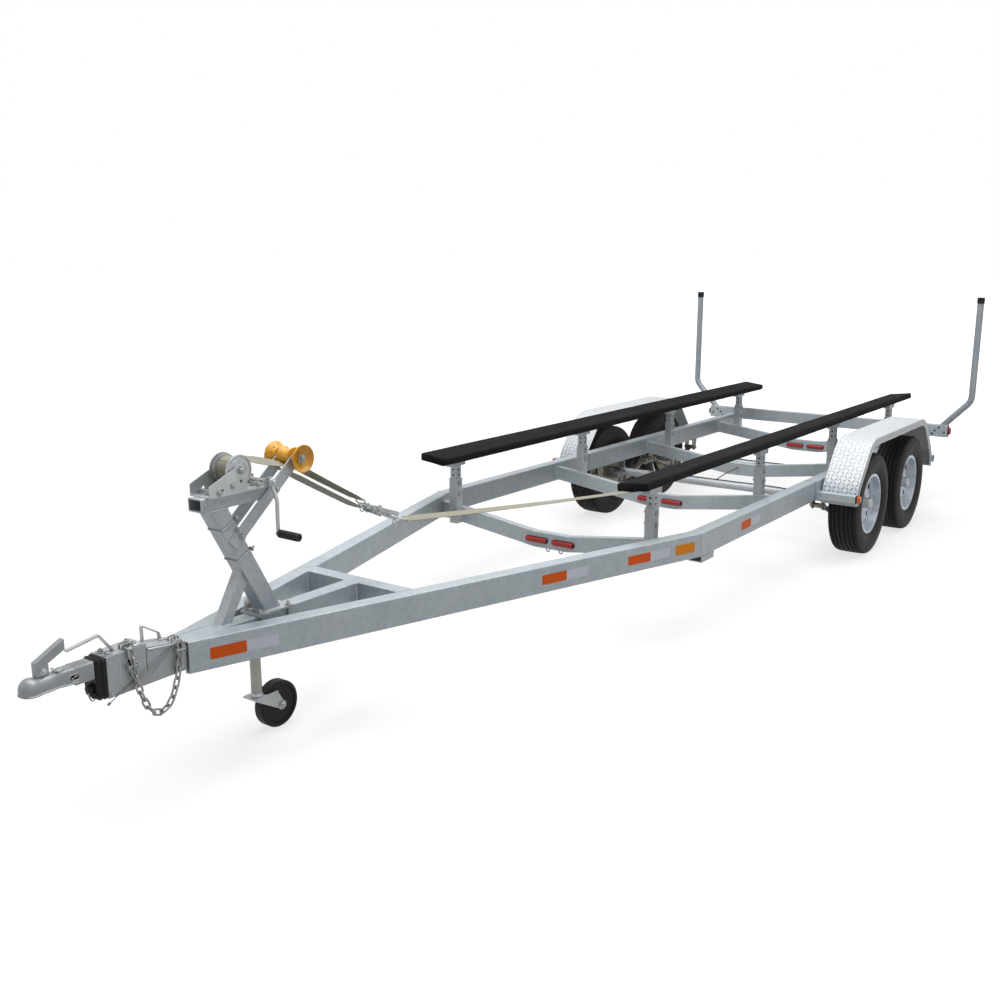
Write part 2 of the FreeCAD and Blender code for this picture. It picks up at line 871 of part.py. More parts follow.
def bunks():
    drop = S.bunk_thickness / 2
    for side, sign in SIDES:
        name = "bunk_" + side
        body = new_body(name)
        section = new_sketch(body, name + "_section", "YZ_Plane")
        rectangle(section, S.bunk_width, S.bunk_thickness)
        board = pad(body, section, S.bunk_length, name + "_pad")
        round_edges(body, board, S.bunk_edge_radius, name + "_edges", lambda edge: runs_along(edge, "x"))
        move(body, bend_x + S.bunk_front_ahead - S.bunk_length / 2,
             sign * (S.bunk_half_spread + drop * sine(S.bunk_tilt)), S.bunk_top - drop * cosine(S.bunk_tilt))
        lean(body, (sign, 0, 0), S.bunk_tilt)
        sub_part(name, body)


def bunk_posts():
    """Telescoping posts on the crossmembers, each with a flat saddle under the board."""
    under = S.bunk_top - S.bunk_thickness * cosine(S.bunk_tilt)
    foot = S.rail_top - S.cross_below_top - S.cross_drop - S.sleeve_foot_below
    sleeves = []
    posts = []
    for side, sign in SIDES:
        for number, place in enumerate(cross_places, start=1):
            forward = 1 if number == 1 else -1
            x = place + forward * (S.cross_width + S.sleeve_width) / 2
            y = sign * (S.bunk_half_spread + S.bunk_thickness * sine(S.bunk_tilt))
            tail = "_%s_%d" % (side, number)
            sleeve = block("sleeve_outer" + tail, (S.sleeve_width, S.sleeve_width, S.sleeve_height),
                           (x, y, foot + S.sleeve_height / 2))
            bore_width = S.post_width + 2 * S.fit_gap
            bore = block("sleeve_bore" + tail, (bore_width, bore_width, S.sleeve_height * 2),
                         (x, y, foot + S.sleeve_height / 2))
            sleeves.append(cut("post_sleeve" + tail, sleeve, bore))
            bottom = foot + S.sleeve_height / 2
            top = under - S.saddle_wall / cosine(S.bunk_tilt) - S.post_width / 2 * sine(S.bunk_tilt)
            shaft = block("post_shaft" + tail, (S.post_width, S.post_width, top - bottom),
                          (x, y, (top + bottom) / 2))
            saddle = prism("post_saddle" + tail, "YZ_Plane", saddle_outline(sign), S.saddle_length)
            move(saddle, x, y, under)
            posts.append(fuse("bunk_post" + tail, [shaft, saddle]))
    sub_part("post_sleeves", group("post_sleeves", sleeves))
    sub_part("bunk_posts", group("bunk_posts", posts))


def saddle_outline(sign):
    """A tilted plate under the board with an upright tongue down the post."""
    half = S.saddle_width / 2
    rise = half * tangent(S.bunk_tilt)
    wall = S.saddle_wall / cosine(S.bunk_tilt)
    stem = S.post_width / 2
    stem_rise = stem * tangent(S.bunk_tilt)
    return [
        (sign * half, rise),
        (sign * half, rise - wall),
        (sign * stem, stem_rise - wall),
        (sign * stem, -S.post_width),
        (-sign * stem, -S.post_width),
        (-sign * stem, -stem_rise - wall),
        (-sign * half, -rise - wall),
        (-sign * half, -rise),
    ]


def axles():
    plates = []
    for end, sign in ENDS:
        name = "axle_" + end
        tube = S.frame_half_width + S.axle_past_frame
        tip = spindle_half_length
        body = spun("axle_tube_" + end, [
            (-tip, 0),
            (-tip, S.spindle_radius),
            (-tube, S.spindle_radius),
            (-tube, S.axle_radius),
            (tube, S.axle_radius),
            (tube, S.spindle_radius),
            (tip, S.spindle_radius),
            (tip, 0),
        ])
        move(body, axle_x(sign), 0, S.tyre_radius)
        pieces = [body]
        for side, side_sign in SIDES:
            plates.append(backing_plate(end, sign, side, side_sign))
            low = spring_seat_z()
            pieces.append(block("spring_seat_%s_%s" % (end, side),
                                (S.seat_length, S.spring_width, S.tyre_radius - low),
                                (axle_x(sign), side_sign * spring_y, (S.tyre_radius + low) / 2)))
        sub_part(name, fuse(name, pieces))
    sub_part("brake_plates", group("brake_plates", plates))


def axle_x(sign):
    return bogie_x + sign * S.axle_spacing / 2


drum_inner_y = wheel_half_track - S.disc_wall / 2 - S.drum_depth


def backing_plate(end, sign, side, side_sign):
    """The fixed plate behind a brake drum, dished where it fits the axle's end."""
    outer = drum_inner_y - S.backing_gap
    inner = outer - S.backing_wall
    name = "brake_plate_%s_%s" % (end, side)
    body = spun(name, [
        (side_sign * inner, S.spindle_radius + S.seat_gap),
        (side_sign * inner, S.drum_radius - S.drum_wall),
        (side_sign * (inner - S.backing_wall), S.drum_radius - S.drum_wall),
        (side_sign * (inner - S.backing_wall), S.drum_radius),
        (side_sign * outer, S.drum_radius),
        (side_sign * outer, S.spindle_radius + S.seat_gap),
    ])
    move(body, axle_x(sign), 0, S.tyre_radius)
    return body


def wheels():
    for end, sign in ENDS:
        for side, side_sign in SIDES:
            tail = "_%s_%s" % (end, side)
            bodies = {}
            for name, maker in (("tyre", tyre), ("rim", rim), ("hub", hub)):
                bodies[name] = maker(name + tail, side_sign)
                move(bodies[name], axle_x(sign), side_sign * wheel_half_track, S.tyre_radius)
            sub_part("tyre" + tail, bodies["tyre"])
            sub_part("wheel" + tail, group("wheel" + tail, [bodies["rim"], bodies["hub"]]))


def tyre(name, out):
    """Radial tyre: flat crown, rounded shoulders, full sidewalls and two beads on the rim."""
    half = S.tyre_width / 2
    depth = S.tyre_radius - S.bead_radius
    bead = S.bead_radius + S.seat_gap
    crown = S.tyre_radius
    crown_share = 0.72
    shoulder_share = 0.9
    shoulder_drop_share = 0.07
    upper_drop_share = 0.22
    belly_drop_share = 0.5
    heel_share = 0.78
    outline = [
        (half * crown_share, crown),
        (half * shoulder_share, crown - depth * shoulder_drop_share),
        (half * (1 + shoulder_share) / 2, crown - depth * upper_drop_share),
        (half, crown - depth * belly_drop_share),
        (half * (1 + heel_share) / 2, S.rim_flange_radius + S.rim_wall),
        (S.rim_half_width - S.rim_wall - S.seat_gap, S.rim_flange_radius),
        (S.rim_half_width - S.rim_wall - S.seat_gap, bead),
    ]
    inner_crown = crown - S.tyre_wall
    inside = [
        (S.rim_half_width - S.rim_wall - 2 * S.tyre_wall, bead),
        (half - S.tyre_wall, crown - depth * belly_drop_share),
        (half * crown_share, inner_crown),
    ]
    outer_left = [(-y, radius) for y, radius in reversed(outline)]
    inner_left = [(-y, radius) for y, radius in reversed(inside)]
    return spun(name, outer_left + outline + inside + inner_left)


def rim(name, out):
    """Pressed steel rim with a dropped well, and a dished disc with a ring of windows."""
    half = S.rim_half_width
    wall = S.rim_wall
    well_half = half / 3
    body = new_body(name)
    section = new_sketch(body, name + "_section", "YZ_Plane")
    polygon(section, [
        (half, S.rim_flange_radius),
        (half - wall, S.rim_flange_radius),
        (half - wall, S.bead_radius),
        (well_half + wall, S.bead_radius - wall),
        (well_half, S.rim_well_radius),
        (-well_half, S.rim_well_radius),
        (-well_half - wall, S.bead_radius - wall),
        (wall - half, S.bead_radius),
        (wall - half, S.rim_flange_radius),
        (-half, S.rim_flange_radius),
        (-half, S.bead_radius - wall),
        (-well_half - 2 * wall, S.bead_radius - 2 * wall),
        (-well_half - wall, S.rim_well_radius - wall),
        (well_half + wall, S.rim_well_radius - wall),
        (well_half + 2 * wall, S.bead_radius - 2 * wall),
        (half, S.bead_radius - wall),
    ])
    spin(body, section, name + "_barrel")
    dish = new_sketch(body, name + "_dish", "YZ_Plane")
    plate = S.disc_wall
    bore = S.disc_bore_radius
    outer_radius = S.rim_well_radius - wall / 2
    crown = S.disc_crown_radius
    polygon(dish, [
        (out * plate / 2, bore),
        (out * plate / 2, S.disc_seat_radius),
        (out * (S.disc_rise + plate / 2), crown),
        (out * (S.disc_rise + plate / 2), (crown + outer_radius) / 2),
        (out * well_half, outer_radius),
        (out * (well_half - plate), outer_radius),
        (out * (S.disc_rise - plate / 2), (crown + outer_radius) / 2 - plate / 2),
        (out * (S.disc_rise - plate / 2), crown + plate / 4),
        (out * plate / -2, S.disc_seat_radius + plate / 4),
        (out * plate / -2, bore),
    ])
    spin(body, dish, name + "_disc")
    window = new_sketch(body, name + "_window", "XZ_Plane")
    high = S.window_ring_radius + S.window_half_length
    low = S.window_ring_radius - S.window_half_length
    wide = S.window_half_width
    chamfer = S.window_half_width / 2
    polygon(window, [
        (-wide, low + chamfer),
        (chamfer - wide, low),
        (wide - chamfer, low),
        (wide, low + chamfer),
        (wide, high - chamfer),
        (wide - chamfer, high),
        (chamfer - wide, high),
        (-wide, high - chamfer),
    ])
    opening = pocket(body, window, 2 * (S.disc_rise + 2 * plate), name + "_window_cut")
    ring = body.newObject("PartDesign::PolarPattern", name + "_windows")
    ring.Originals = [opening]
    ring.Axis = ([item for item in body.Origin.OriginFeatures if item.Role == "Y_Axis"][0], [""])
    ring.Angle = 360
    bind(ring, "Occurrences", S.window_count)
    body.Tip = ring
    return body


def spin(body, section, name):
    turn = body.newObject("PartDesign::Revolution", name)
    turn.Profile = section
    turn.ReferenceAxis = (section, ["H_Axis"])
    turn.Angle = 360
    return turn


def hub(name, out):
    """Hub and brake drum in one, bored for the spindle and closed by a grease cap."""
    bore = S.spindle_radius + S.running_clearance
    seat = S.disc_wall / -2
    back = drum_inner_y - wheel_half_track
    cavity = spindle_half_length - wheel_half_track + S.backing_gap
    drum_inside = S.drum_radius - S.drum_wall
    return spun(name, [
        (out * back, bore),
        (out * back, S.hub_radius),
        (out * (seat - S.hub_flange_wall), S.hub_radius),
        (out * (seat - S.hub_flange_wall), drum_inside),
        (out * back, drum_inside),
        (out * back, S.drum_radius),
        (out * seat, S.drum_radius),
        (out * seat, S.disc_bore_radius - S.seat_gap),
        (out * (seat + S.disc_wall), S.disc_bore_radius - S.seat_gap),
        (out * (seat + 2 * S.disc_wall), S.hub_cap_radius),
        (out * (S.hub_cap_reach - S.disc_wall), S.hub_cap_radius),
        (out * S.hub_cap_reach, S.hub_cap_radius - S.disc_wall),
        (out * S.hub_cap_reach, 0),
        (out * cavity, 0),
        (out * cavity, bore),
    ])


spring_half_span = S.axle_spacing / 2 - S.equaliser_half_span


def spring_eye_places(sign):
    centre = axle_x(sign)
    return centre + spring_half_span, centre - spring_half_span


def spring_seat_z():
    return S.tyre_radius - S.axle_radius - S.seat_wall


def spring_top_z():
    """The low point of the main leaf, which meets the seat at the seat's two ends."""
    arch = S.spring_eye_height + S.spring_eye_radius - S.leaf_wall / 2 - spring_seat_z()
    share = S.seat_length / 2 / spring_half_span
    return spring_seat_z() - arch * share * share


def springs():
    """Underslung leaf packs: a main leaf rolled round its two eyes over shorter leaves."""
    packs = []
    for side, sign in SIDES:
        for end, end_sign in ENDS:
            packs.append(leaf_pack("%s_%s" % (end, side), axle_x(end_sign), sign * spring_y))
    sub_part("leaf_springs", group("leaf_springs", packs))


def leaf_pack(tail, x, y):
    """Leaves with one curve, each shorter than the one above it."""
    arch = (S.spring_eye_height + S.spring_eye_radius - S.leaf_wall / 2 - spring_top_z()).value
    span = spring_half_span.value
    radius = (span * span + arch * arch) / (2 * arch)
    wall = S.leaf_wall.value
    top = spring_top_z().value
    centre_z = top + radius
    solids = []
    for leaf in range(int(S.leaf_count.value)):
        reach = span - leaf * S.leaf_step.value
        inner = radius + leaf * wall
        half_angle = math.asin(reach / inner)
        solids.append(arc_strip(centre_z, inner, inner + wall, half_angle, S.spring_width.value))
    eyes = []
    for direction in (1, -1):
        outer = Part.makeCylinder(S.spring_eye_radius.value, S.spring_width.value,
                                  FreeCAD.Vector(direction * span, S.spring_width.value / -2,
                                                 S.spring_eye_height.value), FreeCAD.Vector(0, 1, 0))
        eyes.append(outer)
    bores = []
    for direction in (1, -1):
        bores.append(Part.makeCylinder(S.spring_pin_radius.value + S.seat_gap.value, S.spring_width.value,
                                       FreeCAD.Vector(direction * span, S.spring_width.value / -2,
                                                      S.spring_eye_height.value), FreeCAD.Vector(0, 1, 0)))
    shape = solids[0].multiFuse(solids[1:] + eyes).cut(Part.makeCompound(bores)).removeSplitter()
    pack = doc.addObject("Part::Feature", "leaf_pack_" + tail)
    pack.Shape = shape
    move(pack, x, y, 0)
    return pack


def arc_strip(centre_z, inner, outer, half_angle, width):
    """A strip between two arcs, symmetric about the lowest point, padded both ways."""
    def at(radius, angle):
        return FreeCAD.Vector(radius * math.sin(angle), width / -2, centre_z - radius * math.cos(angle))
    edges = [
        Part.Arc(at(inner, -half_angle), at(inner, 0), at(inner, half_angle)).toShape(),
        Part.LineSegment(at(inner, half_angle), at(outer, half_angle)).toShape(),
        Part.Arc(at(outer, half_angle), at(outer, 0), at(outer, -half_angle)).toShape(),
        Part.LineSegment(at(outer, -half_angle), at(inner, -half_angle)).toShape(),
    ]
    return Part.Face(Part.Wire(edges)).extrude(FreeCAD.Vector(0, width, 0))


def hangers():
    """Pairs of plates under each rail, with a pin through the spring eye or the equaliser."""
    front_eye = spring_eye_places(1)[0]
    rear_eye = spring_eye_places(-1)[1]
    pieces = []
    rockers = []
    for side, sign in SIDES:
        for label, place, pin_z in (("front", front_eye, S.spring_eye_height),
                                    ("middle", bogie_x, S.equaliser_pivot_height),
                                    ("rear", rear_eye, S.spring_eye_height)):
            pieces.append(hanger("%s_%s" % (label, side), place, sign, pin_z))
        rockers.append(equaliser(side, sign))
    sub_part("spring_hangers", group("spring_hangers", pieces))
    sub_part("equalisers", group("equalisers", rockers))


def hanger(tail, x, sign, pin_z):
    plates = []
    offset = (S.spring_width + S.hanger_wall) / 2 + S.hanger_wall + 2 * S.seat_gap
    half = S.hanger_length / 2
    foot = S.hanger_foot_radius
    for label, way in (("inner", -1), ("outer", 1)):
        plate = prism("hanger_plate_%s_%s" % (label, tail), "XZ_Plane", [
            (-half, rail_foot),
            (half, rail_foot),
            (foot, pin_z - foot / 2),
            (foot / 2, pin_z - foot),
            (foot / -2, pin_z - foot),
            (-foot, pin_z - foot / 2),
        ], S.hanger_wall)
        move(plate, x, sign * spring_y + way * offset, 0)
        plates.append(plate)
    length = 2 * offset + S.hanger_wall
    pin = rod("hanger_pin_" + tail, S.spring_pin_radius, length,
              (x, sign * spring_y - length / 2, pin_z), "y")
    return fuse("hanger_" + tail, plates + [pin])


def equaliser(side, sign):
    """Two rocking plates that join the springs' inner eyes to the middle hanger."""
    near = S.equaliser_half_span
    pieces = []
    offset = (S.spring_width + S.hanger_wall) / 2 + S.seat_gap
    drop = S.spring_eye_height
    peak = S.equaliser_pivot_height
    margin = S.spring_eye_radius
    for label, way in (("inner", -1), ("outer", 1)):
        plate = prism("equaliser_plate_%s_%s" % (label, side), "XZ_Plane", [
            (-near - margin, drop + margin / 2),
            (-near - margin, drop - margin / 2),
            (-near - margin / 2, drop - margin),
            (near + margin / 2, drop - margin),
            (near + margin, drop - margin / 2),
            (near + margin, drop + margin / 2),
            (margin, peak + margin),
            (-margin, peak + margin),
        ], S.hanger_wall, holes=[(0, peak, S.spring_pin_radius + S.seat_gap)])
        move(plate, bogie_x, sign * spring_y + way * offset, 0)
        pieces.append(plate)
    length = 2 * offset + S.hanger_wall
    for label, way in (("front", 1), ("rear", -1)):
        pieces.append(rod("equaliser_pin_%s_%s" % (label, side), S.spring_pin_radius, length,
                          (bogie_x + way * near, sign * spring_y - length / 2, drop), "y"))
    return fuse("equaliser_" + side, pieces)


def fender_outline(inset):
    """The side view of the fender, from its front foot over the top to its rear foot."""
    lean_angle = angle_of(S.fender_half_length - S.fender_half_top, S.fender_top - S.fender_knee)
    foot_x = S.fender_half_length - inset
    knee = S.fender_knee - inset * tangent(lean_angle / 2)
    top_x = S.fender_half_top - inset * tangent((sized(90) - lean_angle) / 2)
    top = S.fender_top - inset
    return [
        (foot_x, S.fender_foot),
        (foot_x, knee),
        (top_x, top),
        (-top_x, top),
        (-foot_x, knee),
        (-foot_x, S.fender_foot),
    ]


def fender_bend_radius():
    """A wide bend that starts above the foot of the fender."""
    lean_angle = angle_of(S.fender_half_length - S.fender_half_top, S.fender_top - S.fender_knee)
    return (S.fender_knee - S.fender_foot) / tangent(lean_angle / 2) * S.fender_bend_share


def fenders():
    """Tandem fenders: one bent sheet over both wheels with a lip down its outer edge."""
    radius = fender_bend_radius()
    for side, sign in SIDES:
        name = "fender_" + side
        sheet_name = "fender_sheet_" + side
        foot_line = (S.fender_foot + S.fender_wall).value
        body = new_body(sheet_name)
        outline = new_sketch(body, sheet_name + "_outline", "XZ_Plane")
        polygon(outline, fender_outline(ZERO))
        solid = pad(body, outline, S.fender_width, sheet_name + "_pad")
        bends = round_edges(body, solid, radius, sheet_name + "_bends",
                            lambda edge: runs_along(edge, "y") and edge.CenterOfMass.z > foot_line)
        doc.recompute()
        open_faces = []
        for index, face in enumerate(bends.Shape.Faces, start=1):
            centre = face.CenterOfMass
            on_foot = abs(centre.z - S.fender_foot.value) < S.seat_gap.value
            on_side = abs(centre.y + sign * S.fender_width.value / 2) < S.seat_gap.value
            if on_foot or on_side:
                open_faces.append("Face%d" % index)
        sheet_metal = body.newObject("PartDesign::Thickness", sheet_name + "_skin")
        sheet_metal.Base = (bends, open_faces)
        sheet_metal.Reversed = True
        sheet_metal.Mode = "Skin"
        sheet_metal.Join = "Arc"
        bind(sheet_metal, "Value", S.fender_wall)
        opening = fender_outline(S.fender_lip)
        below = S.fender_foot - S.fender_lip
        outline = [(opening[0][0], below)] + opening[1:5] + [(opening[5][0], below)]
        mouth = prism("fender_mouth_" + side, "XZ_Plane", outline, S.fender_width + 2 * S.fender_wall)
        round_edges(mouth, mouth.Tip, radius - S.fender_lip, "fender_mouth_bends_" + side,
                    lambda edge: runs_along(edge, "y") and edge.CenterOfMass.z > foot_line)
        for piece in (body, mouth):
            move(piece, bogie_x, sign * (fender_inner_y + S.fender_width / 2), 0)
        sub_part(name, cut("fender_open_" + side, body, mouth))


def fender_arms():
    """Short square arms out from the rails, one at each end of each fender."""
    low = rail_foot + S.arm_above_rail_foot
    outer = fender_inner_y + S.fender_width + S.arm_past_fender
    length = outer - S.frame_half_width
    lamps = []
    arms = []
    for side, sign in SIDES:
        for end, end_sign in ENDS:
            name = "arm_%s_%s" % (end, side)
            arm = square_tube(name, "XZ_Plane", S.arm_width, S.arm_width, S.arm_wall, length)
            x = bogie_x + end_sign * (S.fender_half_length + S.arm_width / 2)
            move(arm, x, sign * (S.frame_half_width + length / 2), low + S.arm_width / 2)
            arms.append(arm)
            if end == "front":
                lamps.append(block("side_lamp_" + side,
                                   (S.side_lamp_height, S.side_lamp_depth, S.side_lamp_height),
                                   (x, sign * (outer + S.side_lamp_depth / 2), low + S.arm_width / 2)))
    sub_part("fender_arms", group("fender_arms", arms))
    sub_part("side_lamps", group("side_lamps", lamps))


def actuator():
    """Surge case over the end of the tongue beam, with the coupler slide in its mouth."""
    rear = bend_x + S.case_ahead
    front = rear + S.case_length
    top = S.rail_top + S.case_wall + S.seat_gap
    wall = S.case_wall
    half = S.case_half_width
    body = new_body("case_shell")
    side_view = new_sketch(body, "actuator_case_side", "XZ_Plane")
    polygon(side_view, case_outline(rear, front, top, ZERO))
    pad(body, side_view, 2 * half, "actuator_case_pad")
    hollow = new_sketch(body, "actuator_case_hollow", "XZ_Plane")
    polygon(hollow, case_outline(rear - wall, front + wall, top, wall))
    pocket(body, hollow, 2 * (half - wall), "actuator_case_pocket")
    sub_part("actuator_case", fuse("actuator_case_welded", [body] + chain_staples()))
    slide = square_tube("coupler_slide", "YZ_Plane", 2 * S.slide_half_width, S.slide_height, S.slide_wall,
                        S.slide_length)
    slide_front = bend_x + S.ball_ahead - S.neck_length
    slide_top = case_top_at(front) - wall - S.seat_gap
    move(slide, slide_front - S.slide_length / 2, 0, slide_top - S.slide_height / 2)
    boot_outer = new_body("boot_outer")
    section = new_sketch(boot_outer, "boot_section", "YZ_Plane")
    rectangle(section, 2 * half, S.case_front_height)
    boot_pad = pad(boot_outer, section, S.boot_length, "boot_pad")
    round_edges(boot_outer, boot_pad, S.boot_corner_radius, "boot_corners", lambda edge: runs_along(edge, "x"))
    move(boot_outer, front + S.boot_length / 2, 0, top + S.case_front_rise - S.case_front_height / 2)
    boot_bore = block("boot_bore", (2 * S.boot_length, 2 * (S.slide_half_width + S.seat_gap), S.slide_height),
                      (front + S.boot_length / 2, 0, slide_top - S.slide_height / 2))
    sub_part("wear_block", cut("wear_block", boot_outer, boot_bore))
    coupler(slide, slide_front, slide_top)


def case_seam_x():
    return bend_x + S.case_ahead + S.case_length * S.case_seam_share


def case_outline(rear, front, top, inset):
    """The side view of the case, with a taller front part ahead of its seam."""
    seam = case_seam_x() + inset
    return [
        (rear, top - inset),
        (seam, top + S.case_seam_rise - inset),
        (seam, top + S.case_seam_rise + S.case_step - inset),
        (front, top + S.case_front_rise - inset),
        (front, top + S.case_front_rise - S.case_front_height + inset),
        (rear, top - S.case_rear_height + inset),
    ]


def coupler(slide, slide_front, slide_top):
    """Ball socket pressed on the front of the slide, with a round dome and a flared lip."""
    centre_x = bend_x + S.ball_ahead
    outer = S.ball_radius + S.socket_wall
    lip = S.ball_height - S.ball_radius / 2
    dome = doc.addObject("Part::Sphere", "socket_dome")
    bind(dome, "Radius", outer)
    move(dome, centre_x, 0, S.ball_height)
    skirt = rod("socket_skirt", outer, S.ball_height - lip, (centre_x, 0, lip))
    neck = block("socket_neck", (S.neck_length, 2 * S.slide_half_width, slide_top - lip),
                 (centre_x - S.neck_length / 2, 0, (slide_top + lip) / 2))
    flare = rod("socket_flare", outer + S.socket_lip_width, S.socket_lip_wall, (centre_x, 0, lip))
    neck_flare = block("neck_flare", (S.neck_length, 2 * (S.slide_half_width + S.socket_lip_width),
                                      S.socket_lip_wall),
                       (centre_x - S.neck_length / 2, 0, lip + S.socket_lip_wall / 2))
    cast = fuse("socket_cast", [dome, skirt, neck, flare, neck_flare, slide])
    ball_room = doc.addObject("Part::Sphere", "ball_room")
    bind(ball_room, "Radius", S.ball_radius)
    move(ball_room, centre_x, 0, S.ball_height)
    mouth = rod("socket_mouth", S.ball_radius, 2 * outer, (centre_x, 0, S.ball_height - 2 * outer))
    below = block("socket_below", (3 * outer, 4 * outer, outer), (centre_x, 0, lip - outer / 2))
    tools = fuse("socket_tools", [ball_room, mouth, below])
    sub_part("coupler", cut("coupler", cast, tools))
    latch_x = centre_x - outer / 2
    latch_rear = latch_x - S.latch_base_length
    tip_x = latch_x - S.latch_reach
    latch = prism("coupler_latch", "XZ_Plane", [
        (latch_rear, slide_top),
        (latch_x, slide_top),
        (latch_x, slide_top + S.latch_base_height),
        (tip_x, slide_top + S.latch_rise),
        (tip_x, slide_top + S.latch_rise - S.latch_depth),
        (latch_rear, slide_top + S.latch_base_height * S.latch_throat_share),
    ], S.latch_width)
    sub_part("coupler_latch", latch)
    breakaway_lever()


def breakaway_lever():
    """A flat bar that leans forward from the case's roof and then runs level to its tip."""
    wall = S.bar_lever_wall
    base_x = bend_x + S.case_ahead + S.case_length - S.bar_lever_lean - wall
    bend = base_x + S.bar_lever_lean
    tip_x = bend + S.bar_lever_length
    top = case_top_at(base_x) + S.bar_lever_rise
    lever = prism("breakaway_lever", "XZ_Plane", [
        (base_x, case_top_at(base_x)),
        (base_x + wall, case_top_at(base_x + wall)),
        (bend + wall / 2, top - wall),
        (tip_x, top - S.bar_lever_drop - wall),
        (tip_x, top - S.bar_lever_drop),
        (bend, top),
    ], S.bar_lever_width)
    sub_part("breakaway_lever", lever)


def case_top_at(x):
    """The height of the case's roof ahead of its seam."""
    seam = case_seam_x()
    front = bend_x + S.case_ahead + S.case_length
    fall = S.case_seam_rise + S.case_step - S.case_front_rise
    high = S.rail_top + S.case_wall + S.seat_gap + S.case_seam_rise + S.case_step
    return high - (x - seam) * fall / (front - seam)


def jack():
    """Screw jack in the gap between the beam and the right rail, on a swivelling caster."""
    x = bend_x + S.jack_ahead
    y = -S.jack_side
    tube = rod("jack_tube_outer", S.jack_tube_radius, S.jack_tube_head - S.jack_tube_foot,
               (x, y, S.jack_tube_foot))
    dome = doc.addObject("Part::Sphere", "jack_dome")
    bind(dome, "Radius", S.jack_dome_radius)
    move(dome, x, y, S.jack_tube_head)
    body = fuse("jack_tube_body", [tube, dome])
    bore = rod("jack_tube_bore", S.jack_leg_radius + S.running_clearance, S.jack_tube_head - S.jack_tube_foot,
               (x, y, S.jack_tube_foot))
    plate_gap = S.jack_side - beam_half - S.jack_tube_radius
    bracket = block("jack_bracket", (2 * S.jack_tube_radius, plate_gap + S.jack_tube_radius / 2, S.beam_height),
                    (x, -beam_half - (plate_gap + S.jack_tube_radius / 2) / 2, S.rail_top - S.beam_height / 2))
    sub_part("jack_tube", cut("jack_tube", fuse("jack_tube_welded", [body, bracket]), bore))
    leg_low = S.fork_plate_height + S.seat_gap
    leg = rod("jack_leg", S.jack_leg_radius, S.jack_tube_foot + S.jack_leg_up - leg_low, (x, y, leg_low))
    sub_part("jack_leg", leg)
    caster(x, y)


# The wheel trails so far that it clears the corner of the leg's foot
caster_trail = S.jack_leg_radius + short_side(S.caster_radius + S.fork_gap,
                                              S.fork_plate_height - S.caster_radius)


def caster(x, y):
    wheel_x = x - caster_trail
    half = S.caster_width / 2
    plate_half = half + S.fork_gap + S.fork_wall
    plate_high = S.fork_plate_height
    plate_low = plate_high - S.fork_plate_wall
    front = x + S.fork_plate_length / 3
    rear = front - S.fork_plate_length
    plate = block("fork_plate", (S.fork_plate_length, 2 * plate_half, S.fork_plate_wall),
                  ((front + rear) / 2, y, (plate_high + plate_low) / 2))
    cheeks = []
    clear_x = wheel_x + S.fork_foot_radius
    for side, sign in SIDES:
        cheek = prism("fork_cheek_" + side, "XZ_Plane", [
            (front, plate_low),
            (rear, plate_low),
            (wheel_x - S.fork_foot_radius, S.caster_radius),
            (wheel_x - S.fork_foot_radius / 2, S.caster_radius - S.fork_foot_radius),
            (wheel_x + S.fork_foot_radius / 2, S.caster_radius - S.fork_foot_radius),
            (clear_x, S.caster_radius - S.fork_foot_radius / 2),
        ], S.fork_wall)
        move(cheek, 0, y + sign * (plate_half - S.fork_wall / 2), 0)
        cheeks.append(cheek)
    pin = rod("fork_pin", S.caster_pin_radius, 2 * plate_half, (wheel_x, y - plate_half, S.caster_radius), "y")
    whole = fuse("fork_whole", [plate] + cheeks + [pin])
    room_width = 2 * (half + S.fork_gap)
    room = rod("fork_room", S.caster_radius + S.fork_gap, room_width,
               (wheel_x, y - room_width / 2, S.caster_radius), "y")
    opened = cut("fork_opened", whole, room)
    sub_part("caster_fork", fuse("caster_fork", [opened, rod(
        "fork_axle", S.caster_pin_radius, 2 * plate_half, (wheel_x, y - plate_half, S.caster_radius), "y")]))
    bore = S.caster_pin_radius + S.running_clearance
    shoulder = S.caster_width / 8
    rim_radius = S.caster_radius - 3 * shoulder
    wheel = spun("caster_wheel", [
        (-half, bore),
        (-half, S.caster_hub_radius),
        (shoulder - half, S.caster_hub_radius + shoulder),
        (shoulder - half, rim_radius),
        (-half, rim_radius + shoulder / 2),
        (-half, S.caster_radius - shoulder),
        (shoulder - half, S.caster_radius),
        (half - shoulder, S.caster_radius),
        (half, S.caster_radius - shoulder),
        (half, rim_radius + shoulder / 2),
        (half - shoulder, rim_radius),
        (half - shoulder, S.caster_hub_radius + shoulder),
        (half, S.caster_hub_radius),
        (half, bore),
    ])
    move(wheel, wheel_x, y, S.caster_radius)
    sub_part("caster_wheel", wheel)


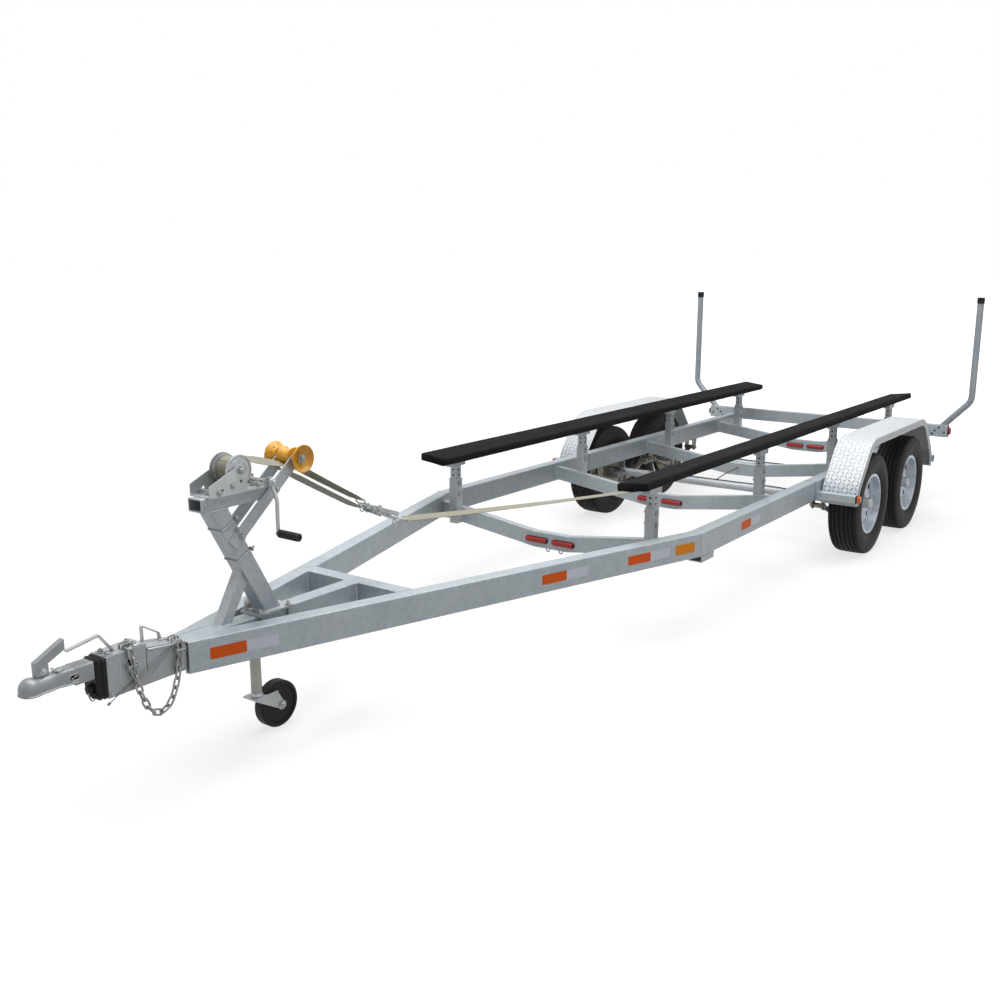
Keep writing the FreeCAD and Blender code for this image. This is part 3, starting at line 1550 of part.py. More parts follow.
def stand():
    """Square mast that leans forward from its base plate, with a brace ahead of it."""
    foot_x = bend_x + S.mast_foot_ahead
    top_x = bend_x + S.mast_top_ahead
    foot_z = S.rail_top + S.mast_base_wall
    top_z = S.head_top - S.head_height
    lean_share = (top_x - foot_x) / (top_z - foot_z)
    half = S.mast_width / 2 * hypotenuse(lean_share, 1)
    wall = S.mast_wall * hypotenuse(lean_share, 1)
    mast = new_body("mast_post")
    outline = new_sketch(mast, "mast_post_side", "XZ_Plane")
    polygon(outline, slanted(foot_x, foot_z, top_x, top_z, half))
    post = pad(mast, outline, S.mast_width, "mast_post_pad")
    round_edges(mast, post, S.tube_edge_radius, "mast_post_corners",
                lambda edge: edge.Length > (top_z - foot_z).value)
    hollow = new_sketch(mast, "mast_post_hollow", "XZ_Plane")
    polygon(hollow, slanted(foot_x, foot_z, top_x, top_z, half - wall))
    pocket(mast, hollow, S.mast_width - 2 * S.mast_wall, "mast_post_pocket")
    plate = block("winch_base_plate", (S.mast_base_length, S.mast_base_width, S.mast_base_wall),
                  (foot_x, 0, S.rail_top + S.mast_base_wall / 2))
    notch = rod("winch_base_notch", S.jack_dome_radius + S.seat_gap, S.mast_base_wall,
                (bend_x + S.jack_ahead, -S.jack_side, S.rail_top))
    base = cut("winch_base_notched", plate, notch)
    reach_z = foot_z + (top_z - foot_z) * S.brace_reach_share
    reach_x = foot_x + lean_share * (reach_z - foot_z) + half
    brace_half = S.brace_width / 2
    brace_x = bend_x + S.brace_foot_ahead
    brace = prism("winch_brace", "XZ_Plane", [
        (brace_x - brace_half, S.rail_top),
        (brace_x + brace_half, S.rail_top),
        (reach_x + lean_share * brace_half, reach_z + brace_half),
        (reach_x - lean_share * brace_half, reach_z - brace_half),
    ], S.brace_width)
    sub_part("winch_brace", brace)
    length = S.head_front_ahead - S.head_rear_ahead
    head = square_tube("winch_head", "YZ_Plane", S.mast_width, S.head_height, S.mast_wall, length)
    move(head, bend_x + S.head_rear_ahead + length / 2, 0, S.head_top - S.head_height / 2)
    sub_part("winch_head", head)
    sub_part("winch_mast", fuse("winch_mast", [mast, base]))


def slanted(foot_x, foot_z, top_x, top_z, half):
    return [
        (foot_x - half, foot_z),
        (foot_x + half, foot_z),
        (top_x + half, top_z),
        (top_x - half, top_z),
    ]


def winch():
    """Two side plates on the head, a webbing drum between them and a crank on the left."""
    rear = bend_x + S.winch_rear_ahead
    front = bend_x + S.winch_front_ahead
    drum_x = bend_x + S.drum_ahead
    drum_z = S.head_top + S.drum_above_head
    crank_x = bend_x + S.crank_ahead
    crank_z = S.head_top + S.crank_above_head
    wall = S.winch_plate_wall
    low = S.winch_low_height
    ear = 2 * S.drum_pin_radius
    plates = []
    for side, sign in SIDES:
        plate = prism("winch_plate_" + side, "XZ_Plane", [
            (rear, S.head_top),
            (front, S.head_top),
            (front, S.head_top + low),
            (drum_x + ear, drum_z + ear),
            (drum_x - ear, drum_z + ear / 2),
            (drum_x - 2 * ear, S.head_top + 2 * wall),
            (crank_x + 2 * ear, S.head_top + 2 * wall),
            (crank_x + ear, S.head_top + S.winch_ear_height),
            (rear, S.head_top + S.winch_ear_height),
        ], wall, holes=[
            (crank_x, crank_z, S.crank_shaft_radius + S.running_clearance),
            (drum_x, S.head_top + low, S.winch_hole_radius),
            (drum_x + 2 * ear, S.head_top + 2 * low / 3, S.winch_hole_radius),
            (drum_x + 5 * ear, S.head_top + low / 2, S.winch_hole_radius),
        ])
        move(plate, 0, sign * (S.winch_half_width - wall / 2), 0)
        plates.append(plate)
    floor = block("winch_floor", (front - rear, 2 * S.winch_half_width, wall),
                  ((front + rear) / 2, 0, S.head_top + wall / 2))
    pin_half = S.winch_half_width + wall
    pin = rod("winch_drum_pin", S.drum_pin_radius, 2 * pin_half, (drum_x, -pin_half, drum_z), "y")
    sub_part("winch_frame", fuse("winch_frame", plates + [floor, pin]))
    half = S.winch_half_width - wall - S.drum_side_gap
    flange = S.drum_flange_wall
    drum = spun("winch_drum", [
        (-half, S.drum_pin_radius + S.running_clearance),
        (-half, S.drum_flange_radius),
        (flange - half, S.drum_flange_radius),
        (flange - half, S.drum_wound_radius),
        (half - flange, S.drum_wound_radius),
        (half - flange, S.drum_flange_radius),
        (half, S.drum_flange_radius),
        (half, S.drum_pin_radius + S.running_clearance),
    ])
    move(drum, drum_x, 0, drum_z)
    sub_part("winch_drum", drum)
    inner = S.winch_half_width + wall
    shaft = rod("crank_shaft", S.crank_shaft_radius, S.crank_side + inner, (crank_x, -inner, crank_z), "y")
    arm_low = crank_z - S.crank_arm_length
    eye_y = S.crank_side - S.crank_eye_wall
    eye = rod("crank_eye", S.crank_eye_radius, S.crank_eye_wall, (crank_x, eye_y, crank_z), "y")
    arm = rod("crank_arm", S.crank_arm_radius, S.crank_arm_length,
              (crank_x, eye_y + S.crank_eye_wall / 2, arm_low))
    boss = rod("crank_boss", S.crank_arm_radius + S.grip_radius / 4, S.crank_eye_wall,
               (crank_x, eye_y, arm_low), "y")
    sub_part("winch_crank", fuse("winch_crank", [shaft, eye, arm, boss]))
    sub_part("crank_grip", rod("crank_grip", S.grip_radius, S.grip_length, (crank_x, S.crank_side, arm_low), "y"))


def bow_stop():
    """Two flat arms up from the mast to a spool roller with a cupped bell at each end."""
    root_x = bend_x + S.stop_root_ahead
    tip_x = bend_x + S.roller_ahead
    run_x = root_x - tip_x
    run_z = S.roller_height - S.stop_root_height
    length = hypotenuse(run_x, run_z)
    along_x = run_x / length
    along_z = run_z / length
    half = S.stop_arm_width / 2
    wall = S.stop_arm_wall
    tail = S.stop_root_tail
    arm_y = S.mast_width / 2 + wall / 2
    arms = []
    for side, sign in SIDES:
        arm = prism("stop_arm_" + side, "XZ_Plane", [
            (root_x + along_x * tail + along_z * half, S.stop_root_height - along_z * tail + along_x * half),
            (root_x + along_x * tail - along_z * half, S.stop_root_height - along_z * tail - along_x * half),
            (tip_x - along_z * half, S.roller_height - along_x * half),
            (tip_x - along_x * half, S.roller_height + along_z * half),
            (tip_x + along_z * half, S.roller_height + along_x * half),
        ], wall)
        move(arm, 0, sign * arm_y, 0)
        arms.append(arm)
    bell_inner = S.mast_width / 2 + wall + S.roller_side_gap
    pin_half = bell_inner + S.bell_width
    pin = rod("bow_roller_pin", S.roller_pin_radius, 2 * pin_half, (tip_x, -pin_half, S.roller_height), "y")
    sub_part("bow_stop_arms", fuse("bow_stop_arms", arms + [pin]))
    bore = S.roller_pin_radius + S.running_clearance
    waist_half = S.mast_width / 2 - S.roller_side_gap
    roller = spun("roller_spool", [
        (-waist_half, bore),
        (-waist_half, S.roller_shoulder_radius),
        (waist_half / -2, S.roller_waist_radius),
        (waist_half / 2, S.roller_waist_radius),
        (waist_half, S.roller_shoulder_radius),
        (waist_half, bore),
    ])
    move(roller, tip_x, 0, S.roller_height)
    turning = [roller]
    for side, sign in SIDES:
        outer = bell_inner + S.bell_width
        bell = spun("bell_" + side, [
            (sign * bell_inner, bore),
            (sign * bell_inner, S.bell_root_radius),
            (sign * (bell_inner + S.bell_width / 2), (S.bell_root_radius + S.bell_radius) / 2),
            (sign * (outer - S.bell_cup_depth / 2), S.bell_radius),
            (sign * outer, S.bell_radius - S.bell_cup_depth / 2),
            (sign * (outer - S.bell_cup_depth), S.bell_cup_radius),
            (sign * (outer - S.bell_cup_depth), bore),
        ])
        move(bell, tip_x, 0, S.roller_height)
        turning.append(bell)
    sub_part("bow_roller", group("bow_roller", turning))


def webbing():
    """The winch strap under the roller to its hook, and the tail strap that keeps it tight."""
    drum_x = bend_x + S.drum_ahead
    drum_z = S.head_top + S.drum_above_head
    roller_x = bend_x + S.roller_ahead
    hook_x = bend_x + S.hook_ahead
    clear = S.roller_shoulder_radius + S.seat_gap
    wall = S.web_wall
    drum_low = drum_z - S.drum_wound_radius - S.seat_gap
    slope_x = roller_x - hook_x
    slope_z = S.roller_height - S.hook_height
    slope = hypotenuse(slope_x, slope_z)
    turn_x = roller_x - clear * slope_z / slope
    turn_z = S.roller_height - clear * slope_x / slope
    end_x = hook_x
    end_z = S.hook_height - clear * slope / slope_x
    strap = prism("winch_strap", "XZ_Plane", [
        (drum_x, drum_low),
        (roller_x, S.roller_height - clear),
        (turn_x, turn_z),
        (end_x, end_z),
        (end_x, end_z - wall),
        (turn_x, turn_z - wall),
        (roller_x, S.roller_height - clear - wall),
        (drum_x, drum_low - wall),
    ], S.web_width)
    ratchet = block("strap_ratchet", (S.ratchet_length, S.ratchet_width, S.ratchet_height),
                    (end_x - S.ratchet_length / 2, 0, end_z - wall / 2))
    sub_part("strap_ratchet", ratchet)
    tail_x = end_x - S.ratchet_length
    sub_part("webbing", group("webbing", [strap, tail_strap(tail_x, end_z)]))


def tail_strap(start_x, start_z):
    """A flat taut band from the ratchet to the front end of the left bunk, cut off square at both."""
    wide = S.web_width.value
    start = FreeCAD.Vector(start_x.value, 0, (start_z - S.web_wall / 2).value)
    end_x = bend_x + S.bunk_front_ahead
    bunk_y = S.bunk_half_spread - S.web_width / 2
    drop = S.bunk_thickness * (sized(0.5) + S.tail_drop_share) + S.web_width / 2 * sine(S.bunk_tilt)
    end = FreeCAD.Vector(end_x.value, bunk_y.value, (S.bunk_top - drop).value)
    along = end.sub(start).normalize()
    flat = FreeCAD.Vector(0, 0, 1).cross(along).normalize()
    up = along.cross(flat).normalize()
    half = flat * (wide / 2)
    rise = up * (S.web_wall.value / 2)
    first = start - along * wide
    corners = [first + half + rise, first - half + rise, first - half - rise, first + half - rise]
    length = end.sub(start).Length + 2 * wide
    long_band = Part.Face(Part.makePolygon(corners + corners[:1])).extrude(along * length)
    window = Part.makeBox(start_x.value - end_x.value, 2 * bunk_y.value, S.head_top.value,
                          FreeCAD.Vector(end_x.value, -wide, 0))
    band = doc.addObject("Part::Feature", "tail_strap")
    band.Shape = long_band.common(window)
    return band


def chain_ends():
    """The two points that the chain hangs between, left of the case."""
    rear = bend_x + S.case_ahead
    front_x = (rear + S.case_length * S.chain_front_share).value
    rear_x_end = (rear + S.case_length * S.chain_rear_share).value
    y = (S.case_half_width + S.chain_inner_width / 2 + 2 * S.chain_wire_radius + S.seat_gap).value
    z = (S.rail_top - S.chain_below_rail).value
    return FreeCAD.Vector(front_x, y, z), FreeCAD.Vector(rear_x_end, y, z)


def chain_centres():
    front, rear = chain_ends()
    span = front.x - rear.x
    count = int(round(span * S.chain_slack_share.value / S.chain_pitch.value))
    points = hanging_points(span, count * S.chain_pitch.value, count + 1)
    return [FreeCAD.Vector(front.x - along, front.y, front.z + drop) for along, drop in points]


def chain_half_link():
    """Half of a link along the middle of its wire, so that neighbours just clear."""
    return (S.chain_pitch / 2 + S.chain_wire_radius + S.seat_gap / 2).value


def chain():
    """Safety chain hung in a loop from two staples on the left of the case."""
    centres = chain_centres()
    links = []
    for index in range(len(centres) - 1):
        links.append(chain_link(centres[index], centres[index + 1], index % 2))
    loop = doc.addObject("Part::Feature", "safety_chain")
    loop.Shape = Part.makeCompound(links)
    sub_part("safety_chain", loop)


def chain_staples():
    """A pin along the case through each end link, on two short lugs."""
    centres = chain_centres()
    pin_radius = S.chain_wire_radius.value
    inset = pin_radius + S.seat_gap.value / 2
    half = (S.chain_inner_width / 2 + 2 * S.chain_wire_radius + S.seat_gap).value
    lug = S.staple_wall.value
    staples = []
    for end, following in ((centres[0], centres[1]), (centres[-1], centres[-2])):
        along = following.sub(end).normalize()
        middle = end + along * inset
        pin = Part.makeCylinder(pin_radius, 2 * (half + lug), middle - FreeCAD.Vector(half + lug, 0, 0),
                                FreeCAD.Vector(1, 0, 0))
        reach = middle.y + pin_radius - S.case_half_width.value
        pieces = []
        for way in (-1, 1):
            corner = FreeCAD.Vector(middle.x + way * (half + lug / 2) - lug / 2, S.case_half_width.value,
                                    middle.z - 2 * pin_radius)
            pieces.append(Part.makeBox(lug, reach, 4 * pin_radius, corner))
        staple = doc.addObject("Part::Feature", "chain_staple")
        staple.Shape = pin.multiFuse(pieces)
        staples.append(staple)
    return staples


def hanging_points(span, length, count):
    """Evenly spaced points on a hanging curve of a given length over a level span."""
    low, high = span / 40, span * 40
    for _ in range(80):
        scale = (low + high) / 2
        if 2 * scale * math.sinh(span / (2 * scale)) > length:
            low = scale
        else:
            high = scale
    step = length / (count - 1)
    points = []
    for index in range(count):
        along = index * step - length / 2
        x = scale * math.asinh(along / scale)
        z = scale * math.cosh(x / scale) - scale * math.cosh(span / (2 * scale))
        points.append((x + span / 2, z))
    return points


WIRE_SIDES = 6


def chain_link(start, stop, edgewise):
    """One welded link between two points: a flat ring of eight straight bars."""
    wire = S.chain_wire_radius.value
    along = stop.sub(start).normalize()
    side = FreeCAD.Vector(0, 1, 0)
    if edgewise:
        side = along.cross(side).normalize()
    middle = (start + stop) * 0.5
    half_long = chain_half_link()
    half_wide = S.chain_inner_width.value / 2 + wire
    corner = half_wide * S.link_corner_share.value
    ring = [
        (half_long, half_wide - corner),
        (half_long - corner, half_wide),
        (corner - half_long, half_wide),
        (-half_long, half_wide - corner),
        (-half_long, corner - half_wide),
        (corner - half_long, -half_wide),
        (half_long - corner, -half_wide),
        (half_long, corner - half_wide),
    ]
    points = [middle + along * a + side * b for a, b in ring]
    base = (points[2] + points[1]) * 0.5
    direction = points[2].sub(points[1]).normalize()
    across = along.cross(side).normalize()
    outward = direction.cross(across).normalize()
    section = []
    for turn in range(WIRE_SIDES):
        angle = math.pi / 2 + math.tau * turn / WIRE_SIDES
        section.append(base + across * (wire * math.cos(angle)) + outward * (wire * math.sin(angle)))
    profile = Part.makePolygon(section + section[:1])
    path = Part.makePolygon([base] + points[2:] + points[:2] + [base])
    return path.makePipeShell([profile], True, False, 1)


def check_and_write():
    doc.recompute()
    for thing in doc.Objects:
        if "Invalid" in thing.State or "Error" in thing.State:
            raise RuntimeError("%s failed: %s" % (thing.Name, thing.State))
    labels = set()
    for thing in sub_parts:
        shape = thing.Shape
        if shape.isNull() or not shape.isValid():
            raise RuntimeError("%s has no valid shape" % thing.Label)
        if thing.Label in labels:
            raise RuntimeError("%s is used twice" % thing.Label)
        labels.add(thing.Label)
    for thing in sub_parts:
        thing.Shape.exportStep("parts/%s.step" % thing.Label)


frame_rails()
bend_stubs()
tongue()
crossmembers()
crossmember_lamps()
rear_bar()
guide_poles()
bunks()
bunk_posts()
axles()
wheels()
springs()
hangers()
fenders()
fender_arms()
actuator()
chain()
jack()
stand()
winch()
bow_stop()
webbing()
check_and_write()
for item in sub_parts:
    box = item.Shape.BoundBox
    print("%-24s %2d solids %9.0f mm3  x %.0f..%.0f y %.0f..%.0f z %.0f..%.0f" % (
        item.Label, len(item.Shape.Solids), item.Shape.Volume, box.XMin, box.XMax, box.YMin, box.YMax,
        box.ZMin, box.ZMax))
print(len(sub_parts), "sub-parts")
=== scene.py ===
"""Boat trailer: finishes, fittings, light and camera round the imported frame."""

import math
import random

import bpy
from mathutils import Matrix, Vector, noise


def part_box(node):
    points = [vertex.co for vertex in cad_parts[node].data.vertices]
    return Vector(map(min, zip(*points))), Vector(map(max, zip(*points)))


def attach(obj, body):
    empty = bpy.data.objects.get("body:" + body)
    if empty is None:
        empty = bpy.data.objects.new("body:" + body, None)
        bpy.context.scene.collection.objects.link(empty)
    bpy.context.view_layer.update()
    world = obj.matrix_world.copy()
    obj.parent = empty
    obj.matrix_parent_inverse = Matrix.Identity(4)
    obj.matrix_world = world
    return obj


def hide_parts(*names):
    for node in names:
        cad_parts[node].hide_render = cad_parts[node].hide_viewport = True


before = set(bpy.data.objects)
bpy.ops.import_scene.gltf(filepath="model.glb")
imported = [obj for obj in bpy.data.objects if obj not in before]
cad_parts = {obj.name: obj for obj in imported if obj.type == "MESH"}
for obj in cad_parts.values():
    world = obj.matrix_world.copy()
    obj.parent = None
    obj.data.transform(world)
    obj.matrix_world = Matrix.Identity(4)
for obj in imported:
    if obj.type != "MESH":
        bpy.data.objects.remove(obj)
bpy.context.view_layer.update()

# Places on the frame, in metres, in the same frame as the solids
BEND_X = 0.50325
NOSE_X = 3.13525
REAR_X = -3.70175
SPLICE_X = -1.14675
BOGIE_X = -2.10675
AXLE_XS = (-1.67675, -2.53675)
CROSS_XS = (0.57325, -0.73975, -2.05275, -3.36575)
LAMP_XS = (CROSS_XS[0], CROSS_XS[1], CROSS_XS[3])
RAIL_TOP = 0.560
RAIL_FOOT = 0.433
RAIL_OUT = 0.890
RAIL_IN = 0.814
NOSE_Y = 0.058
WHEEL_Y = 1.008
WHEEL_Z = 0.3445
DRUM_RADIUS = 0.16
SIDES = (("left", 1), ("right", -1))
FLOOR_GREY = 0.34
FLOOR_LIFT = 0.72
AIR_FILL = 0.13
FENDER_BEND = 0.2134
SPRING_Y = 0.852
POST_Y = 0.649
BUNK_TILT = math.radians(6.8)
BUNK_TOP = 0.855
CASE_X = 3.13925
CASE_LONG = 0.335
CASE_SEAM = CASE_X + CASE_LONG * 0.51
CASE_SIDE = 0.047
BALL = Vector((3.73425, 0, 0.562))
JACK_X = 2.70825
JACK_Y = -0.074
CASTER = Vector((2.60432, JACK_Y, 0.102))
DRUM = Vector((2.84325, 0, 1.168))
SPOOL = Vector((2.53825, 0, 1.172))
CRANK = Vector((2.70325, 0, 1.103))
UP = Vector((0, 0, 1))
ALONG = Vector((1, 0, 0))
ACROSS = Vector((0, 1, 0))
WHEELS = [("%s_%s" % (end, side), x, sign)
          for end, x in zip(("front", "rear"), AXLE_XS) for side, sign in SIDES]
TIP = 0.0001  # the radius at which a turned solid closes on its axis
M12_BOLT = (0.019, 0.009, 0.0025)  # across the flats, height of the head, thickness of the washer
M10_BOLT = (0.017, 0.008, 0.0025)
HOLE_DEEP = 0.0005  # how far a dark disc stands proud where it shows a drilled hole
WEB_WIDE = 0.048
WEB_THICK = 0.0026


# Finishes

class Wave:
    """A value that varies over a surface. Sums of waves add their own maths nodes."""

    def __init__(self, finish, socket):
        self.finish = finish
        self.socket = socket

    def maths(self, operation, other=None, swapped=False):
        """The outcome of one maths node on this wave and another value."""
        pair = [self] if other is None else [other, self] if swapped else [self, other]
        node = self.finish.tree.nodes.new("ShaderNodeMath")
        node.operation = operation
        for socket, value in zip(node.inputs, pair):
            self.finish.feed(socket, value)
        return Wave(self.finish, node.outputs[0])

    def __add__(self, other):
        return self.maths("ADD", other)

    def __radd__(self, other):
        return self.maths("ADD", other)

    def __sub__(self, other):
        return self.maths("SUBTRACT", other)

    def __rsub__(self, other):
        return self.maths("SUBTRACT", other, swapped=True)

    def __mul__(self, other):
        return self.maths("MULTIPLY", other)

    def __pow__(self, other):
        return self.maths("POWER", other)

    def sine(self):
        """The sine of the wave's value."""
        return self.maths("SINE")

    def size(self):
        """The value without its sign."""
        return self.maths("ABSOLUTE")

    def higher(self, other):
        """The greater of two values."""
        return self.maths("MAXIMUM", other)


class Finish:
    """One material, built node by node."""

    def __init__(self, name):
        self.material = bpy.data.materials.new(name)
        self.material.use_nodes = True
        self.tree = self.material.node_tree
        self.tree.nodes.clear()
        self.place = self.node("ShaderNodeTexCoord", {}, {}, "Object")

    def feed(self, socket, value):
        """Link a wave to a socket, or set the socket to a plain value."""
        if isinstance(value, Wave):
            self.tree.links.new(value.socket, socket)
        elif isinstance(value, tuple) and len(value) == 3 and socket.type == "RGBA":
            socket.default_value = (*value, 1)
        else:
            socket.default_value = value

    def node(self, kind, settings, sockets, output=0):
        """A new node with its settings and sockets filled in, as the wave of one of its outputs."""
        made = self.tree.nodes.new(kind)
        for key, value in settings.items():
            setattr(made, key, value)
        for key, value in sockets.items():
            self.feed(made.inputs[key], value)
        return Wave(self, made.outputs[output]) if made.outputs else None

    def stretched(self, x, y, z):
        """The place on the piece, with each axis stretched on its own."""
        return self.node("ShaderNodeVectorMath", {"operation": "MULTIPLY"}, {0: self.place, 1: (x, y, z)})

    def axis(self, name):
        """The distance along one axis of the frame."""
        return self.node("ShaderNodeSeparateXYZ", {}, {0: self.place}, name)

    def clouds(self, scale, detail=3.0, place=None, rough=0.5):
        """Soft noise between 0 and 1."""
        return self.node("ShaderNodeTexNoise", {}, {
            "Vector": place or self.place, "Scale": scale, "Detail": detail, "Roughness": rough}, 0)

    def grains(self, scale):
        """A value of its own for each grain."""
        cells = self.node("ShaderNodeTexVoronoi", {}, {"Vector": self.place, "Scale": scale}, "Color")
        return self.node("ShaderNodeSeparateColor", {}, {0: cells}, 0)

    def rims(self, scale, place=None):
        """The distance to the nearest edge between grains."""
        return self.node("ShaderNodeTexVoronoi", {"feature": "DISTANCE_TO_EDGE"},
                         {"Vector": place or self.place, "Scale": scale}, "Distance")

    def between(self, value, low, high):
        """0 at low and 1 at high."""
        return self.node("ShaderNodeMapRange", {}, {"Value": value, "From Min": low, "From Max": high})

    def blend(self, first, second, share):
        """The first colour where the share is 0 and the second where it is 1."""
        return self.node("ShaderNodeMix", {"data_type": "RGBA"}, {0: share, 6: first, 7: second}, 2)

    def relief(self, height, depth, strength):
        """Surface directions from a height that stands for a depth in metres."""
        return self.node("ShaderNodeBump", {}, {"Height": height, "Distance": depth, "Strength": strength})

    def close(self, colour, rough, metal=0.0, normal=None, **more):
        """End the material in a principled surface. Further names set its sockets."""
        sockets = {"Base Color": colour, "Roughness": rough, "Metallic": metal}
        if normal is not None:
            sockets["Normal"] = normal
        for key, value in more.items():
            sockets[key.replace("_", " ").title().replace("Ior", "IOR")] = value
        surface = self.node("ShaderNodeBsdfPrincipled", {}, sockets)
        self.node("ShaderNodeOutputMaterial", {}, {"Surface": surface})
        return self.material


def galvanised(name, pale, dark, grain=55.0, metal=0.24, dull=0.42):
    """Hot-dip zinc: faint spangle, soft clouding, runs and a little white bloom."""
    finish = Finish(name)
    spangle = finish.grains(grain) * 0.6 + finish.grains(grain * 2.3) * 0.4
    cloud = finish.clouds(2.6, 5, rough=0.6)
    runs = finish.clouds(9, 3, finish.stretched(1, 1, 0.14))
    share = finish.between(spangle * 0.34 + cloud * 0.5 + runs * 0.36, 0.3, 0.95)
    base = finish.blend(dark, pale, share)
    bloom = finish.between(finish.clouds(17, 6, rough=0.7), 0.6, 0.78)
    base = finish.blend(base, (0.8, 0.83, 0.85), bloom * 0.25)
    stain = finish.between(finish.clouds(1.3, 6, rough=0.62), 0.58, 0.8)
    base = finish.blend(base, (0.36, 0.35, 0.33), stain * 0.22)
    rough = dull + spangle * 0.12 + bloom * 0.14 + (cloud - 0.5) * 0.16
    height = finish.clouds(55, 4) * 0.6 + finish.clouds(420, 2) * 0.14 + spangle * 0.1
    return finish.close(base, rough, metal, finish.relief(height, 0.0009, 0.5))


def plated(name, pale, dark, metal=0.85, dull=0.3, brushed=(30, 30, 30)):
    """Bright zinc plate with rub marks and handling stains."""
    finish = Finish(name)
    rubs = finish.clouds(40, 5, finish.stretched(*brushed), rough=0.65)
    cloud = finish.clouds(14, 4)
    specks = finish.grains(900)
    base = finish.blend(dark, pale, finish.between(rubs * 0.5 + cloud * 0.6, 0.32, 0.72))
    grime = finish.between(finish.clouds(11, 6, rough=0.7), 0.6, 0.78)
    base = finish.blend(base, (0.24, 0.22, 0.19), grime * 0.22)
    rough = dull + rubs * 0.16 + grime * 0.2 + specks * 0.05
    return finish.close(base, rough, metal, finish.relief(rubs * 0.4 + specks * 0.1, 0.0003, 0.6))


def tread_aluminium(name, pale, dark, foot_reflection):
    """Rolled aluminium, darkened and blued towards the foot of the fender as a painted reflection of the dark
    frame.
    """
    finish = Finish(name)
    rolled = finish.clouds(30, 4, finish.stretched(0.2, 6, 6))
    cloud = finish.clouds(5, 5)
    base = finish.blend(dark, pale, rolled * 0.5 + cloud * 0.5)
    dust = finish.between(finish.clouds(60, 5, rough=0.7), 0.56, 0.76)
    base = finish.blend(base, (0.5, 0.51, 0.52), dust * 0.25)
    # painted reflection of the dark frame: darker and bluer towards the foot of the fender
    low = finish.between(finish.axis("Z") + cloud * 0.08, 0.70, 0.58)
    base = finish.blend(base, foot_reflection, low * 0.85)
    rough = 0.42 + rolled * 0.12 + dust * 0.2
    return finish.close(base, rough, 0.12, finish.relief(cloud * 0.5 + rolled * 0.3, 0.0008, 0.5),
                        specular_ior_level=0.3)


def wheel_enamel():
    """Silver enamel on the rims; behind the windows round the brake drum a dark drum tone deepened into
    painted shade, and painted shade on the window walls.
    """
    finish = Finish("wheel_silver_enamel")
    flake = finish.grains(2600)
    peel = finish.clouds(240, 2)
    film = finish.between(finish.clouds(12, 5, rough=0.65), 0.45, 0.75)
    base = finish.blend((0.52, 0.565, 0.63), (0.66, 0.71, 0.78), flake)
    base = finish.blend(base, (0.4, 0.39, 0.37), film * 0.2)
    along = (finish.axis("X") - BOGIE_X).size() - (AXLE_XS[0] - BOGIE_X)
    high = finish.axis("Z") - WHEEL_Z
    reach = (along * along + high * high) ** 0.5
    # behind the disc, within the drum's reach: a dark drum tone, deepened into painted shade so the windows
    # look dark
    behind = finish.between(finish.axis("Y").size(), WHEEL_Y - 0.004, WHEEL_Y - 0.007)
    iron_and_shade = behind * finish.between(reach, DRUM_RADIUS + 0.012, DRUM_RADIUS + 0.008)
    # the walls of the wheel's windows: painted shade, darker than the enamel
    inside = finish.between(finish.axis("Y").size(), WHEEL_Y + 0.0286, WHEEL_Y + 0.0278)
    inside = inside * finish.between(finish.axis("Y").size(), WHEEL_Y + 0.0215, WHEEL_Y + 0.0225)
    edges = inside * finish.between(reach, 0.160, 0.157) * finish.between(reach, 0.112, 0.115)
    base = finish.blend(base, (0.012, 0.0115, 0.011), iron_and_shade)
    base = finish.blend(base, (0.05, 0.05, 0.052), edges)
    rough = 0.24 + film * 0.22 + flake * 0.06 + iron_and_shade * 0.5
    return finish.close(base, rough, 0.4 - iron_and_shade * 0.4, finish.relief(peel, 0.0002, 0.5),
                        coat_weight=0.2 - iron_and_shade * 0.2)


def tyre_rubber():
    """Dull black rubber with light dust."""
    finish = Finish("tyre_black_rubber")
    cast = finish.clouds(30, 5, rough=0.6)
    dust = finish.between(finish.clouds(9, 7, rough=0.72), 0.48, 0.8)
    base = finish.blend((0.008, 0.008, 0.0085), (0.02, 0.0195, 0.019), cast)
    base = finish.blend(base, (0.06, 0.055, 0.047), dust * 0.28)
    height = finish.clouds(500, 3) * 0.5 + cast * 0.3
    return finish.close(base, 0.6 + dust * 0.2 + cast * 0.08, 0.0, finish.relief(height, 0.0005, 0.6),
                        specular_ior_level=0.22)


def bunk_carpet():
    """Ribbed black marine carpet: short looped pile in rows, lint and rubbed tops."""
    finish = Finish("bunk_black_carpet")
    rows = finish.between((finish.axis("Y") * 900).sine(), -1, 1)
    tufts = finish.rims(700, finish.stretched(0.6, 1, 1))
    pile = finish.clouds(1400, 2)
    lie = finish.clouds(6, 4, finish.stretched(0.4, 1.5, 1))
    base = finish.blend((0.004, 0.004, 0.0045), (0.018, 0.018, 0.019), pile * 0.6 + tufts * 0.8)
    base = finish.blend(base, (0.03, 0.03, 0.032), finish.between(lie, 0.5, 0.8) * 0.5)
    lint = finish.between(finish.clouds(300, 1), 0.74, 0.78)
    base = finish.blend(base, (0.16, 0.155, 0.15), lint * 0.25)
    height = rows * 0.3 + pile * 0.7 + tufts * 0.6
    return finish.close(base, 0.93, 0.0, finish.relief(height, 0.0018, 0.9), sheen_weight=0.04,
                        sheen_roughness=0.5, specular_ior_level=0.08)


def moulded(name, pale, dark, dull=0.5, grain=700.0, depth=0.0003, **more):
    """Moulded rubber or plastic with a fine grain, scuffs and a little dust."""
    finish = Finish(name)
    grit = finish.clouds(grain, 3)
    scuff = finish.between(finish.clouds(35, 6, rough=0.7), 0.55, 0.72)
    base = finish.blend(dark, pale, finish.clouds(20, 4))
    worn = tuple(min(1.0, channel * 1.35 + 0.01) for channel in pale)
    base = finish.blend(base, worn, scuff * 0.5)
    return finish.close(base, dull + scuff * 0.15 + grit * 0.05, 0.0, finish.relief(grit, depth, 0.6), **more)


